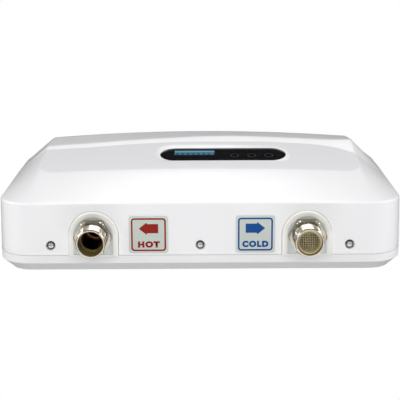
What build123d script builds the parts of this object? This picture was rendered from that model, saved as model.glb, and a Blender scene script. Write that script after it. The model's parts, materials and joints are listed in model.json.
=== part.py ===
"""Wall-hung tankless water heater, 7 cm deep, with its two pipe stubs at the bottom.

Frame: X to the right, +Z up as the heater hangs, and the front faces -Y.
The wall plane is Y = 0 and the origin is the centre of the four wall screws.
Pieces are placed with three numbers: x, out (away from the wall) and up (above
the bottom face of the casing).  Lengths are in millimetres.
"""
import math
import os

from build123d import *

# %% Stack of the inner pieces, which sets the width and height of the casing
PIPE_X = 75.5               # half the distance between the two pipes
PIPE_INSET = 22.5           # from a pipe to the end of the tank
TANK_END_ROOM = 47.0        # from the end of the tank to the side of the casing
BOARD_LOW_UP = 15.0
BOARD_HOLE_INSET = 5.0
RELAY_SIZE = (19.0, 15.3, 15.5)
CAPACITOR_SIZE = (18.0, 13.0, 8.0)
CONNECTOR_SIZE = (15.0, 8.0, 6.0)
PART_SPACING = 3.0
CONNECTOR_GAP = 3.75        # between the capacitors and the row of connectors
CAPACITOR_PITCH = CAPACITOR_SIZE[2] + PART_SPACING
CAPACITOR_RISE = BOARD_HOLE_INSET + RELAY_SIZE[2] / 2
CAPACITOR_ROOM = CAPACITOR_PITCH + CAPACITOR_SIZE[2] / 2 + CONNECTOR_GAP
BOARD_HEIGHT = CAPACITOR_RISE + CAPACITOR_ROOM + CONNECTOR_SIZE[2] + PART_SPACING / 2
BRACKET_GAP = 3.25          # between the power board and the display bracket
WINDOW_HEIGHT = 24.0
DISPLAY_BOARD_MARGIN = 3.0
BRACKET_ARM_WIDTH = 8.0
BRACKET_TANK_GAP = 7.75
TANK_RADIUS = 23.0
TERMINAL_GAP = 14.0         # between the tank and the terminal block
TERMINAL_WIDTH = 18.0
TOP_ROOM = 15.0
PLATE_FLOOR = 3.0
TANK_FLOOR_GAP = 1.5
BOARD_HIGH_UP = BOARD_LOW_UP + BOARD_HEIGHT
BRACKET_LOW_UP = BOARD_HIGH_UP + BRACKET_GAP
WINDOW_UP = BRACKET_LOW_UP + (WINDOW_HEIGHT + DISPLAY_BOARD_MARGIN) / 2
TANK_UP = BRACKET_LOW_UP + BRACKET_ARM_WIDTH + BRACKET_TANK_GAP + TANK_RADIUS
TERMINAL_UP = TANK_UP + TANK_RADIUS + TERMINAL_GAP + TERMINAL_WIDTH / 2
BODY_HEIGHT = TERMINAL_UP + TERMINAL_WIDTH / 2 + TOP_ROOM
TANK_HALF_LENGTH = PIPE_X + PIPE_INSET
BODY_WIDTH = 2 * (TANK_HALF_LENGTH + TANK_END_ROOM)
PIPE_OUT = PLATE_FLOOR + TANK_FLOOR_GAP + TANK_RADIUS
HALF_HEIGHT = BODY_HEIGHT / 2
HALF_WIDTH = BODY_WIDTH / 2

# %% Driving sizes of the casing
CORNER_RADIUS = 24.0
PARTING_OUT = 12.8          # back plate ends and front cover starts
PARTING_GAP = 0.2
CHAMFER_OUT = 7.2           # sloped rear edge of the back plate
CHAMFER_INSET = 7.6
DRAFT_ANGLE = 1.5
COVER_WALL = 2.6
PLATE_WALL = 3.0
CUT_OVERRUN = 4.0           # how far cutting tools run past a face

# %% Front of the cover: slopes, crown and the two creases of the swoosh
SHOULDER_ROOM = 0.1         # the walls end this far in front of the tank
CONSOLE_RISE = 15.6         # from the shoulder to the lower edge of the console
CONSOLE_MARGIN = 27.35      # from the console's lower edge to the middle of the window
FAR_EDGE_RISE = 25.9        # from the shoulder to the far edge
FAR_SLOPE_RUN = 28.0        # from the far edge to the top face
BAND_ANGLE = 20.0           # slope of the bright band between the creases
SHOULDER_OUT = PIPE_OUT + TANK_RADIUS + SHOULDER_ROOM
CONSOLE_OUT = SHOULDER_OUT + CONSOLE_RISE
CONSOLE_UP = WINDOW_UP - CONSOLE_MARGIN
FAR_EDGE_OUT = SHOULDER_OUT + FAR_EDGE_RISE
FAR_EDGE_UP = BODY_HEIGHT - FAR_SLOPE_RUN
SIDE_SLOPE_ANGLE = 42.0
CONSOLE_ANGLE = 11.0
CROWN_DROP = 6.7            # how far the front falls at the side walls
STATION_SHARES = (-1.06, -0.87, -0.6, -0.35, -0.1, 0.15, 0.46, 0.75, 0.87, 1.06)
LOWER_CREASE_SHARES = (0.545, 0.546, 0.538, 0.551, 0.563, 0.564, 0.570, 0.530, 0.462, 0.400)
UPPER_CREASE_SHARES = (0.578, 0.577, 0.573, 0.588, 0.604, 0.616, 0.614, 0.608, 0.603, 0.598)

# %% Running clearances
FIT_GAP = 0.1               # between pieces of one body, and running fits
CLEAR_GAP = 0.3             # between pieces that part when the cover comes off

# %% Display window in the console
WINDOW_X = 17.7
WINDOW_LENGTH = 96.0
RECESS_DEPTH = 1.5
RECESS_FLARE = 3.1
WINDOW_LIP = 1.0
WINDOW_FLANGE = 2.0
WINDOW_PLATE = 1.6
WINDOW_SINK = 0.2
WINDOW_BOSS_WALL = 2.2
SEAL_FILM = 0.3
LCD_X = -4.0
LCD_UP_SHIFT = 5.0
LCD_LENGTH = 30.7
LCD_HEIGHT = 8.6
LCD_MODULE_MARGIN = 2.4
LCD_MODULE_DEPTH = 3.2
DISPLAY_GAP = 0.8
DISPLAY_BOARD_THICKNESS = 1.6
TOUCH_PITCH = 15.0
TOUCH_SPRING_RADIUS = 3.2
TOUCH_WIRE_RADIUS = 0.4
TOUCH_COUNT = 3
TOUCH_TURNS = 4

# %% Pipe stubs: half-inch pipe thread outside the casing
STUB_PROJECTION = 20.6
THREAD_RADIUS = 10.475
THREAD_LEAD_IN = 0.9
HEX_FLATS = 24.0
HEX_THICKNESS = 6.0
HEX_BEVEL_SHARE = 0.95
STUB_BORE_RADIUS = 8.8
STUB_MOUTH_RADIUS = 9.3
STUB_MOUTH_DEPTH = 1.4
STUB_BORE_DEPTH = 12.0
STUB_THROAT_RADIUS = 7.7
SHANK_RADIUS = 9.75
SHANK_UP = 20.0
ORING_RADIUS = 0.9
ORING_UP = 16.0

# %% Frosted pads that close the slots of the cover round the stubs
PAD_RADIUS = 17.5
PAD_PROUD = 2.0
PAD_INNER_RADIUS = 13.9
PAD_RECESS = 1.2
PAD_FLANGE = 2.2
PAD_FLANGE_THICKNESS = 2.0
PAD_BEVEL = 0.8

# %% Inlet filter: a brass ring with a wire-mesh disc
FILTER_RING_WALL = 1.3
FILTER_RING_LENGTH = 6.0
FILTER_SINK = 2.4
FILTER_WIRE = 0.45
FILTER_PITCH = 1.35

# %% Cover screws, their nuts and the forked tabs
SCREW_INSET = 39.0
SCREW_X = HALF_WIDTH - SCREW_INSET
SCREW_OUT = 20.3
SCREW_SHANK_RADIUS = 1.5
SCREW_HEAD_RADIUS = 2.85
SCREW_HEAD_SINK = 0.5
SCREW_HEAD_THICKNESS = 1.7
SCREW_SOCKET_RADIUS = 1.1
SCREW_WELL_RADIUS = 3.4
TAB_WIDTH = 12.0
TAB_THICKNESS = 3.0
TAB_TOP_OUT = 24.5
NUT_SIDE = 5.5
NUT_THICKNESS = 2.4

# %% Paper labels by the stubs
LABEL_WIDTH = 28.0
LABEL_HEIGHT = 27.0
LABEL_CORNER = 2.0
LABEL_THICKNESS = 0.5
OUTLET_LABEL_STEP = 39.0
OUTLET_LABEL_X = OUTLET_LABEL_STEP - PIPE_X
INLET_LABEL_STEP = 36.5
INLET_LABEL_X = PIPE_X - INLET_LABEL_STEP
LABEL_OUT = 28.1

# %% Water path
TANK_WALL = 1.2
TANK_CAP_THICKNESS = 3.0
TANK_CAP_RIM = 1.0
PIPE_RADIUS = 7.0
PIPE_WALL = 1.2
SOCKET_WALL = 2.6
OUTLET_SOCKET_TOP = 26.0
SENSOR_TANK_GAP = 21.0
SENSOR_TOP = TANK_UP - TANK_RADIUS - SENSOR_TANK_GAP
SENSOR_RADIUS = 13.0
CHAMBER_RADIUS = 8.0
CHAMBER_FLOOR_UP = 26.0
CHAMBER_ROOF_UP = 44.0
SPIDER_THICKNESS = 1.5
SPIDER_HUB_RADIUS = 2.4
SPIDER_ARM = 1.2
SPIDER_ARM_COUNT = 3
TURBINE_RADIUS = 7.2
TURBINE_HUB_RADIUS = 2.6
TURBINE_LENGTH = 11.0
TURBINE_BLADE = 1.0
TURBINE_BLADE_COUNT = 6
TURBINE_TWIST = 40.0
AXLE_RADIUS = 0.9
HALL_WIDTH = 12.0
HALL_DEPTH = 5.0
HALL_HEIGHT = 14.0
PROBE_RADIUS = 3.5
PROBE_HEX = 9.0
PROBE_LENGTH = 10.0
PROBE_TIP_RADIUS = 1.8
PROBE_RISE = 8.0
PROBE_UP = SENSOR_TOP + PROBE_RISE

# %% Heating elements: two hairpins that enter by the right-hand cap
ELEMENT_RADIUS = 3.2
ELEMENT_BEND_RADIUS = 8.0
ELEMENT_SPREAD = 9.0
ELEMENT_END_ROOM = 16.0
ELEMENT_BUSH_RADIUS = 5.0
ELEMENT_BUSH_LENGTH = 5.0
ELEMENT_PIN_RADIUS = 1.4
ELEMENT_PIN_LENGTH = 9.0

# %% Tank saddles and straps
STRAP_INSET = 9.0
STRAP_X = TANK_HALF_LENGTH - STRAP_INSET
STRAP_WIDTH = 12.0
STRAP_THICKNESS = 1.0
STRAP_FOOT = 9.0
SADDLE_OUT = 14.0
STRAP_SCREW_RADIUS = 1.8
STRAP_SCREW_HEAD = 3.4
STRAP_SCREW_LENGTH = 7.0

# %% Pipe clamps
CLAMP_UP = 11.0
CLAMP_LENGTH = 9.0
CLAMP_WALL = 3.0
CLAMP_EAR = 8.0
CLAMP_SEAT_DROP = 8.0       # from the pipe's axis back to the seat of its clamp
CRADLE_OUT = PIPE_OUT - CLAMP_SEAT_DROP

# %% Thermal cut-out with its reset button
CUTOUT_X = -34.0
CUTOUT_FLANGE_X = 24.0
CUTOUT_FLANGE_UP = 15.0
CUTOUT_SEAT_DROP = 2.5      # the saddle flange reaches this far round the tank
CUTOUT_FLANGE_RISE = 1.5
CUTOUT_SEAT_OUT = PIPE_OUT + TANK_RADIUS - CUTOUT_SEAT_DROP
CUTOUT_FLANGE_TOP = PIPE_OUT + TANK_RADIUS + CUTOUT_FLANGE_RISE
CUTOUT_RADIUS = 8.0
CUTOUT_HEIGHT = 8.0
BUTTON_RADIUS = 2.5
BUTTON_PROUD = 3.0
BUTTON_DEPTH = 4.5
BUTTON_TRAVEL = 1.2
TAG_WIDTH = 6.3
TAG_THICKNESS = 0.8
TAG_LENGTH = 7.0

# %% Power switches on their cooling saddle
TRIAC_PLATE_X = 42.0
TRIAC_PLATE_LENGTH = 46.0
TRIAC_PLATE_UP = 22.0
TRIAC_WIDTH = 15.6
TRIAC_HEIGHT = 20.0
TRIAC_THICKNESS = 4.8
TRIAC_PITCH = 20.0
TRIAC_LEG = 0.8
TRIAC_LEG_LENGTH = 4.0
TRIAC_LEG_PITCH = 5.4
TRIAC_SCREW_RADIUS = 1.5

# %% Power board and what stands on it
BOARD_SIDE_GAP = 10.5
BOARD_LENGTH = 2 * (PIPE_X - SENSOR_RADIUS - BOARD_SIDE_GAP)
BOARD_OUT = 11.0
BOARD_THICKNESS = 1.6
BOARD_POST_RADIUS = 3.4
BOARD_SCREW_RADIUS = 1.4
BOARD_SCREW_HEAD = 2.8
BOARD_SCREW_HEAD_THICKNESS = 1.8
TRANSFORMER_SIZE = (24.0, 18.0, 20.0)

# %% Mains side, above the tank
TERMINAL_LENGTH = 42.0
TERMINAL_DEPTH = 16.0
TERMINAL_POLES = 3
TERMINAL_SCREW_RADIUS = 2.2
TERMINAL_CLAMP_RADIUS = 3.2
TERMINAL_BARRIER = 1.6
TERMINAL_FOOT = 2.0
GROMMET_INSET = 51.0
GROMMET_X = GROMMET_INSET - HALF_WIDTH
GROMMET_RADIUS = 8.5
GROMMET_BORE = 4.5
GROMMET_LIP = 2.2
GROMMET_GROOVE = 1.6
CABLE_CLAMP_STEP = 28.0
CABLE_CLAMP_X = GROMMET_X + CABLE_CLAMP_STEP
CABLE_CLAMP_WIDTH = 9.0
CABLE_CLAMP_LENGTH = 30.0
CABLE_CLAMP_THICKNESS = 4.0
CABLE_CLAMP_POST = 8.0
CABLE_CLAMP_SCREW_SPACING = 20.0
TERMINAL_STEP = 36.0
TERMINAL_X = CABLE_CLAMP_X + TERMINAL_STEP
EARTH_STEP = 42.0
EARTH_X = TERMINAL_X + EARTH_STEP
EARTH_STUD_RADIUS = 2.0
EARTH_STUD_LENGTH = 6.0
EARTH_NUT_FLATS = 7.0
EARTH_NUT_THICKNESS = 3.2

# %% Wall screw holes
WALL_HOLE_RADIUS = 2.75
WALL_INSET_X = 27.0
WALL_SPACING_X = BODY_WIDTH - 2 * WALL_INSET_X
WALL_INSET_UP = 25.0
WALL_SPACING_UP = BODY_HEIGHT - 2 * WALL_INSET_UP
WALL_BOSS_RADIUS = 6.5
WALL_BOSS_HEIGHT = 2.0

# %% Leads
LEAD_RADIUS = 1.2
SENSOR_LEAD_RADIUS = 0.9
RIBBON_WIDTH = 14.0
RIBBON_THICKNESS = 0.9


# %% Placing helpers
def rod_up(radius, x, out, up_from, up_to):
    """Cylinder along Z."""
    middle = Pos(x, -out, (up_from + up_to) / 2 - HALF_HEIGHT)
    return middle * Cylinder(radius, up_to - up_from)


def rod_out(radius, x, up, out_from, out_to):
    """Cylinder along Y, square to the wall."""
    middle = Pos(x, -(out_from + out_to) / 2, up - HALF_HEIGHT)
    return middle * Rot(90, 0, 0) * Cylinder(radius, out_to - out_from)


def rod_across(radius, out, up, x_from, x_to):
    """Cylinder along X."""
    middle = Pos((x_from + x_to) / 2, -out, up - HALF_HEIGHT)
    return middle * Rot(0, 90, 0) * Cylinder(radius, x_to - x_from)


def block(x_from, x_to, out_from, out_to, up_from, up_to):
    """Box between two corners."""
    middle = Pos((x_from + x_to) / 2, -(out_from + out_to) / 2, (up_from + up_to) / 2 - HALF_HEIGHT)
    return middle * Box(x_to - x_from, out_to - out_from, up_to - up_from)


def block_at(x, out_from, up, size):
    """Box of a given (x, out, up) size that stands on the plane out_from."""
    return block(x - size[0] / 2, x + size[0] / 2, out_from, out_from + size[1],
                 up - size[2] / 2, up + size[2] / 2)


def hex_up(flats, x, out, up_from, up_to):
    """Hexagonal prism along Z with two corners to the left and right."""
    plane = Plane(origin=(x, -out, up_from - HALF_HEIGHT), z_dir=(0, 0, 1))
    return extrude(plane * RegularPolygon(flats / 2, 6, major_radius=False, rotation=0), up_to - up_from)


def together(pieces):
    """One compound of separate solids."""
    return Compound(children=[solid for piece in pieces for solid in piece.solids()])


def save(shape, name):
    """Write one named piece, whole or as a group of equal pieces."""
    solids = shape.solids()
    body = solids[0] if len(solids) == 1 else Compound(children=list(solids))
    export_step(body, f"parts/{name}.step")


# %% Outer form shared by the cover and the back plate
def outline(inset, out):
    """Rounded rectangle of the casing at one distance from the wall."""
    return Plane.XZ.offset(out) * RectangleRounded(
        BODY_WIDTH - 2 * inset, BODY_HEIGHT - 2 * inset, CORNER_RADIUS - inset)


def drafted_prism(inset, out_from, out_to):
    """Casing walls that lean in by the draft angle as they leave the parting line."""
    near = outline(inset + lean_at(out_from), out_from)
    far = outline(inset + lean_at(out_to), out_to)
    return loft([near, far], ruled=True)


def lean_at(out):
    """How far the leaning walls have come in at one distance from the wall."""
    return (out - PARTING_OUT) * math.tan(math.radians(DRAFT_ANGLE))


def crown(x):
    """How far the front falls off at a place across the width."""
    return CROWN_DROP * (x / HALF_WIDTH) ** 2


def console_out(up):
    """Height of the console's middle line above the wall."""
    return CONSOLE_OUT + (up - CONSOLE_UP) * math.tan(math.radians(CONSOLE_ANGLE))


def front_section(x, lower_share, upper_share, sink):
    """Profile of the front across the heater's height at one place of its width."""
    drop = crown(x) + sink
    near_rise = CONSOLE_RISE / CONSOLE_UP
    far_rise = FAR_EDGE_RISE / FAR_SLOPE_RUN
    lower_up = BODY_HEIGHT * lower_share
    upper_up = BODY_HEIGHT * upper_share
    crest_out = console_out(lower_up) + (upper_up - lower_up) * math.tan(math.radians(BAND_ANGLE))
    points = [
        (PARTING_OUT - CUT_OVERRUN, -CUT_OVERRUN),
        (SHOULDER_OUT - CUT_OVERRUN * near_rise - sink, -CUT_OVERRUN),
        (CONSOLE_OUT - drop, CONSOLE_UP),
        (console_out(lower_up) - drop, lower_up),
        (crest_out - drop, upper_up),
        (FAR_EDGE_OUT - drop, FAR_EDGE_UP),
        (SHOULDER_OUT - CUT_OVERRUN * far_rise - sink, BODY_HEIGHT + CUT_OVERRUN),
        (PARTING_OUT - CUT_OVERRUN, BODY_HEIGHT + CUT_OVERRUN),
    ]
    corners = [(x, -out, up - HALF_HEIGHT) for out, up in points]
    return Wire([Line(a, b) for a, b in zip(corners, corners[1:] + corners[:1])])


def front_form(sink):
    """Crowned front of the casing, lofted across the width."""
    sections = [front_section(share * HALF_WIDTH, lower, upper, sink)
                for share, lower, upper in zip(STATION_SHARES, LOWER_CREASE_SHARES, UPPER_CREASE_SHARES)]
    return Solid(loft([Face(section) for section in sections]).solids()[0].wrapped)


def side_roof(sink):
    """The two side slopes, as a roof over the whole width."""
    rise = math.tan(math.radians(SIDE_SLOPE_ANGLE))
    reach = HALF_WIDTH + CUT_OVERRUN
    eaves = SHOULDER_OUT - CUT_OVERRUN * rise - sink
    ridge = SHOULDER_OUT + HALF_WIDTH * rise - sink
    floor = PARTING_OUT - CUT_OVERRUN
    corners = [(-reach, -floor), (-reach, -eaves), (0, -ridge), (reach, -eaves), (reach, -floor)]
    plane = Plane(origin=(0, 0, -HALF_HEIGHT - CUT_OVERRUN), z_dir=(0, 0, 1))
    return extrude(plane * make_face(Polyline(*corners, close=True)), BODY_HEIGHT + 2 * CUT_OVERRUN)


def casing_form(inset, out_from, sink):
    """Solid block with the casing's outer form, or its inner form when inset."""
    return drafted_prism(inset, out_from, console_out(BODY_HEIGHT)) & front_form(sink) & side_roof(sink)


# %% Tilted plane of the display window
def console_plane(depth):
    """Plane of the console at the window, sunk by a depth, with local Y uphill."""
    tilt = math.radians(CONSOLE_ANGLE)
    surface_out = console_out(WINDOW_UP) - crown(WINDOW_X)
    origin = Vector(WINDOW_X, -surface_out, WINDOW_UP - HALF_HEIGHT)
    normal = Vector(0, -math.cos(tilt), -math.sin(tilt))
    return Plane(origin=origin - normal * depth, x_dir=(1, 0, 0), z_dir=normal)


def stadium(grow, depth):
    """Stadium face of the window, grown by a margin, at a depth under the console."""
    height = WINDOW_HEIGHT + 2 * grow
    return console_plane(depth) * SlotOverall(WINDOW_LENGTH + 2 * grow, height)


def stadium_block(grow, depth_from, depth_to):
    """Stadium prism between two depths under the console."""
    return extrude(stadium(grow, depth_to), depth_to - depth_from)


def console_block(x_shift, up_shift, length, height, depth_from, depth_to):
    """Box parallel to the console, placed from the window's centre."""
    face = console_plane(depth_to) * Pos(x_shift, up_shift) * Rectangle(length, height)
    return extrude(face, depth_to - depth_from)


LIP_DEPTH = RECESS_DEPTH + WINDOW_LIP
SEAT_DEPTH = LIP_DEPTH + SEAL_FILM
WINDOW_BACK = SEAT_DEPTH + WINDOW_PLATE
DISPLAY_FRONT = WINDOW_BACK + DISPLAY_GAP + LCD_MODULE_DEPTH
DISPLAY_BACK = DISPLAY_FRONT + DISPLAY_BOARD_THICKNESS
LCD_SHIFT_X = LCD_X - WINDOW_X


# %% Cover
PAD_BOTTOM_OUT = PARTING_OUT + PARTING_GAP


def slot_block(grow, up_from, up_to, x):
    """D-shaped prism of a pad slot: an arch whose straight legs run back to the wall."""
    arch = rod_up(PAD_RADIUS + grow, x, PIPE_OUT, up_from, up_to)
    legs = block(x - PAD_RADIUS - grow, x + PAD_RADIUS + grow, PAD_BOTTOM_OUT, PIPE_OUT, up_from, up_to)
    return arch + legs - block(-BODY_WIDTH, BODY_WIDTH, 0, PAD_BOTTOM_OUT, up_from, up_to)


def make_cover():
    """Front cover: one moulded shell with window recess, pad slots and screw wells."""
    base_out = PARTING_OUT + PARTING_GAP
    outer = casing_form(0, base_out, 0)
    inner = casing_form(COVER_WALL, base_out - CUT_OVERRUN, COVER_WALL)
    shell = outer - inner
    shell += stadium_block(WINDOW_FLANGE + WINDOW_BOSS_WALL, COVER_WALL / 2, WINDOW_BACK) & outer
    for x in (-SCREW_X, 0, SCREW_X):
        shell += rod_up(SCREW_WELL_RADIUS + COVER_WALL / 2, x, SCREW_OUT, COVER_WALL / 2,
                        COVER_WALL + SCREW_HEAD_SINK) & outer
    flare = loft([stadium(RECESS_FLARE, 0), stadium(0, RECESS_DEPTH)], ruled=True)
    mouth = stadium_block(RECESS_FLARE, -RECESS_DEPTH, 0)
    shell -= flare + mouth
    shell -= stadium_block(0, RECESS_DEPTH - WINDOW_LIP, SEAT_DEPTH)
    shell -= stadium_block(WINDOW_FLANGE + FIT_GAP, LIP_DEPTH, WINDOW_BACK + CUT_OVERRUN)
    for x in (-PIPE_X, PIPE_X):
        slot = slot_block(CLEAR_GAP, -CUT_OVERRUN, COVER_WALL + CUT_OVERRUN, x)
        shell -= slot + block(x - PAD_RADIUS - CLEAR_GAP, x + PAD_RADIUS + CLEAR_GAP,
                              base_out - CUT_OVERRUN, PIPE_OUT, -CUT_OVERRUN, COVER_WALL + CUT_OVERRUN)
    for x in (-SCREW_X, 0, SCREW_X):
        shell -= rod_up(SCREW_SHANK_RADIUS + FIT_GAP, x, SCREW_OUT, -CUT_OVERRUN, COVER_WALL + CUT_OVERRUN)
        shell -= rod_up(SCREW_WELL_RADIUS, x, SCREW_OUT, -CUT_OVERRUN, SCREW_HEAD_SINK + SCREW_HEAD_THICKNESS)
    return shell


def make_window():
    """Smoked window: a flanged plate with a raised centre and a cut for the lens."""
    plate = stadium_block(WINDOW_FLANGE, SEAT_DEPTH, WINDOW_BACK)
    centre = stadium_block(-FIT_GAP, RECESS_DEPTH + WINDOW_SINK, SEAT_DEPTH)
    cut = console_block(LCD_SHIFT_X, LCD_UP_SHIFT, LCD_LENGTH, LCD_HEIGHT, RECESS_DEPTH, WINDOW_BACK)
    return plate + centre - cut


def make_window_seal():
    """Adhesive frame between the window's flange and the lip of the cover."""
    return stadium_block(WINDOW_FLANGE, LIP_DEPTH, SEAT_DEPTH) - stadium_block(0, LIP_DEPTH, SEAT_DEPTH)


def make_lcd_lens():
    """Clear lens over the read-out, flush in the window."""
    return console_block(LCD_SHIFT_X, LCD_UP_SHIFT, LCD_LENGTH - FIT_GAP, LCD_HEIGHT - FIT_GAP,
                         RECESS_DEPTH + WINDOW_SINK, WINDOW_BACK)


# %% Display board behind the window
DISPLAY_LENGTH = WINDOW_LENGTH - 2 * DISPLAY_BOARD_MARGIN
DISPLAY_POST_RADIUS = 2.2
DISPLAY_POST_INSET = 3.5


def make_lcd_module():
    """Liquid-crystal module that stands on the display board."""
    return console_block(LCD_SHIFT_X, LCD_UP_SHIFT, LCD_LENGTH + LCD_MODULE_MARGIN,
                         LCD_HEIGHT + LCD_MODULE_MARGIN, WINDOW_BACK + DISPLAY_GAP, DISPLAY_FRONT)


def display_corners():
    """Places of the four board screws, from the window's centre."""
    reach_x = DISPLAY_LENGTH / 2 - DISPLAY_POST_INSET
    reach_up = WINDOW_HEIGHT / 2 - DISPLAY_POST_INSET / 2
    return [(side * reach_x, lift * reach_up) for side in (-1, 1) for lift in (-1, 1)]


def console_rod(x_shift, up_shift, radius, depth_from, depth_to):
    """Cylinder square to the console."""
    face = console_plane(depth_to) * Pos(x_shift, up_shift) * Circle(radius)
    return extrude(face, depth_to - depth_from)


def make_display_board():
    """Printed board with the read-out and the touch springs."""
    board = console_block(0, 0, DISPLAY_LENGTH, WINDOW_HEIGHT + DISPLAY_BOARD_MARGIN,
                          DISPLAY_FRONT, DISPLAY_BACK)
    for x_shift, up_shift in display_corners():
        board -= console_rod(x_shift, up_shift, BOARD_SCREW_RADIUS + FIT_GAP, DISPLAY_FRONT, DISPLAY_BACK)
    return board


def make_display_screws():
    """Four screws that hold the display board to its bracket."""
    screws = []
    for x_shift, up_shift in display_corners():
        head = console_rod(x_shift, up_shift, DISPLAY_POST_RADIUS,
                           DISPLAY_FRONT - BOARD_SCREW_HEAD_THICKNESS, DISPLAY_FRONT)
        shank = console_rod(x_shift, up_shift, BOARD_SCREW_RADIUS, DISPLAY_FRONT, DISPLAY_BACK + PLATE_FLOOR)
        screws.append(head + shank)
    return together(screws)


def touch_places():
    """Centres of the touch springs, right of the read-out."""
    first = TOUCH_PITCH / 2 - DISPLAY_BOARD_MARGIN
    return [first + count * TOUCH_PITCH for count in range(TOUCH_COUNT)]


def make_touch_springs():
    """Coil springs that carry each touch field to the window's back."""
    height = DISPLAY_FRONT - WINDOW_BACK - CLEAR_GAP - TOUCH_WIRE_RADIUS
    springs = []
    for x_shift in touch_places():
        pitch = (height - 2 * TOUCH_WIRE_RADIUS) / TOUCH_TURNS
        helix = Helix(pitch, height - 2 * TOUCH_WIRE_RADIUS, TOUCH_SPRING_RADIUS)
        start = Plane(origin=helix @ 0, z_dir=helix % 0)
        coil = sweep(start * Circle(TOUCH_WIRE_RADIUS), path=helix)
        place = console_plane(DISPLAY_FRONT) * Pos(x_shift, 0, TOUCH_WIRE_RADIUS + FIT_GAP)
        springs.append(place * coil)
    return together(springs)


# %% Bracket that carries the display board
BRACKET_LEG_SPACING = 56.0
BRACKET_THICKNESS = 2.0
BRACKET_BACK = DISPLAY_BACK + PLATE_FLOOR + FIT_GAP


def make_display_bracket():
    """Tilted frame with four posts for the display board and two legs to the back plate."""
    long_side = DISPLAY_LENGTH
    short_side = WINDOW_HEIGHT + DISPLAY_BOARD_MARGIN
    frame = console_block(0, 0, long_side, short_side, BRACKET_BACK, BRACKET_BACK + BRACKET_THICKNESS)
    frame -= console_block(0, 0, long_side - 4 * DISPLAY_POST_INSET, short_side - 2 * DISPLAY_POST_INSET,
                           BRACKET_BACK, BRACKET_BACK + BRACKET_THICKNESS)
    for x_shift, up_shift in display_corners():
        frame += console_rod(x_shift, up_shift, DISPLAY_POST_RADIUS, DISPLAY_BACK, BRACKET_BACK)
        frame -= console_rod(x_shift, up_shift, BOARD_SCREW_RADIUS, DISPLAY_BACK, BRACKET_BACK)
    low_edge = WINDOW_UP - short_side / 2
    frame_out = console_out(WINDOW_UP) - BRACKET_BACK
    above = console_block(0, 0, BODY_WIDTH, BODY_HEIGHT, 0, BRACKET_BACK)
    for side in (-1, 1):
        x_from = WINDOW_X + side * BRACKET_LEG_SPACING / 2 - BRACKET_ARM_WIDTH / 2
        x_to = x_from + BRACKET_ARM_WIDTH
        high_edge = low_edge + BRACKET_ARM_WIDTH
        leg = block(x_from, x_to, PLATE_FLOOR, frame_out, low_edge, high_edge)
        foot = block(x_from, x_to, PLATE_FLOOR, PLATE_FLOOR + BRACKET_THICKNESS,
                     high_edge, high_edge + BRACKET_ARM_WIDTH)
        foot -= rod_out(BOARD_SCREW_RADIUS, (x_from + x_to) / 2, high_edge + BRACKET_ARM_WIDTH / 2,
                        PLATE_FLOOR, PLATE_FLOOR + BRACKET_THICKNESS)
        frame += (leg - above) + foot
    return frame


# %% Back plate
TAB_UP = COVER_WALL + SCREW_HEAD_SINK + CLEAR_GAP
TAB_LOW_OUT = max(PLATE_FLOOR, CHAMFER_OUT * (1 - TAB_UP / CHAMFER_INSET) + FIT_GAP)


def tab_block(x):
    """Fork tab behind the cover's bottom wall, with its slot open to the front."""
    up_from = TAB_UP
    tab = block(x - TAB_WIDTH / 2, x + TAB_WIDTH / 2, TAB_LOW_OUT, TAB_TOP_OUT, up_from, up_from + TAB_THICKNESS)
    slot = block(x - SCREW_SHANK_RADIUS - CLEAR_GAP, x + SCREW_SHANK_RADIUS + CLEAR_GAP,
                 SCREW_OUT, TAB_TOP_OUT + CUT_OVERRUN, up_from, up_from + TAB_THICKNESS)
    end = rod_up(SCREW_SHANK_RADIUS + CLEAR_GAP, x, SCREW_OUT, up_from, up_from + TAB_THICKNESS)
    return tab - slot - end


def wall_places():
    """Places of the four wall screws."""
    return [(side * WALL_SPACING_X / 2, HALF_HEIGHT + lift * WALL_SPACING_UP / 2)
            for side in (-1, 1) for lift in (-1, 1)]


def board_places():
    """Places of the four power board screws."""
    x = BOARD_LENGTH / 2 - BOARD_HOLE_INSET
    return [(side * x, up) for side in (-1, 1)
            for up in (BOARD_LOW_UP + BOARD_HOLE_INSET, BOARD_HIGH_UP - BOARD_HOLE_INSET)]


def strap_places():
    """Places of the four strap screws."""
    reach = TANK_RADIUS + STRAP_FOOT / 2 + STRAP_THICKNESS
    return [(side * STRAP_X, TANK_UP + lift * reach) for side in (-1, 1) for lift in (-1, 1)]


CLAMP_RING_RADIUS = SHANK_RADIUS + SOCKET_WALL + FIT_GAP + CLAMP_WALL


def clamp_places():
    """Places of the four pipe clamp screws."""
    reach = CLAMP_RING_RADIUS + CLAMP_EAR / 2
    return [(pipe + side * reach, CLAMP_UP + CLAMP_LENGTH / 2)
            for pipe in (-PIPE_X, PIPE_X) for side in (-1, 1)]


SEAL_WIDTH = 1.2
SEAL_HEIGHT = 1.0
LOCATING_LIP = 1.5
LOCATING_RISE = 3.0
TANK_CLEARANCE = FIT_GAP


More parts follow.
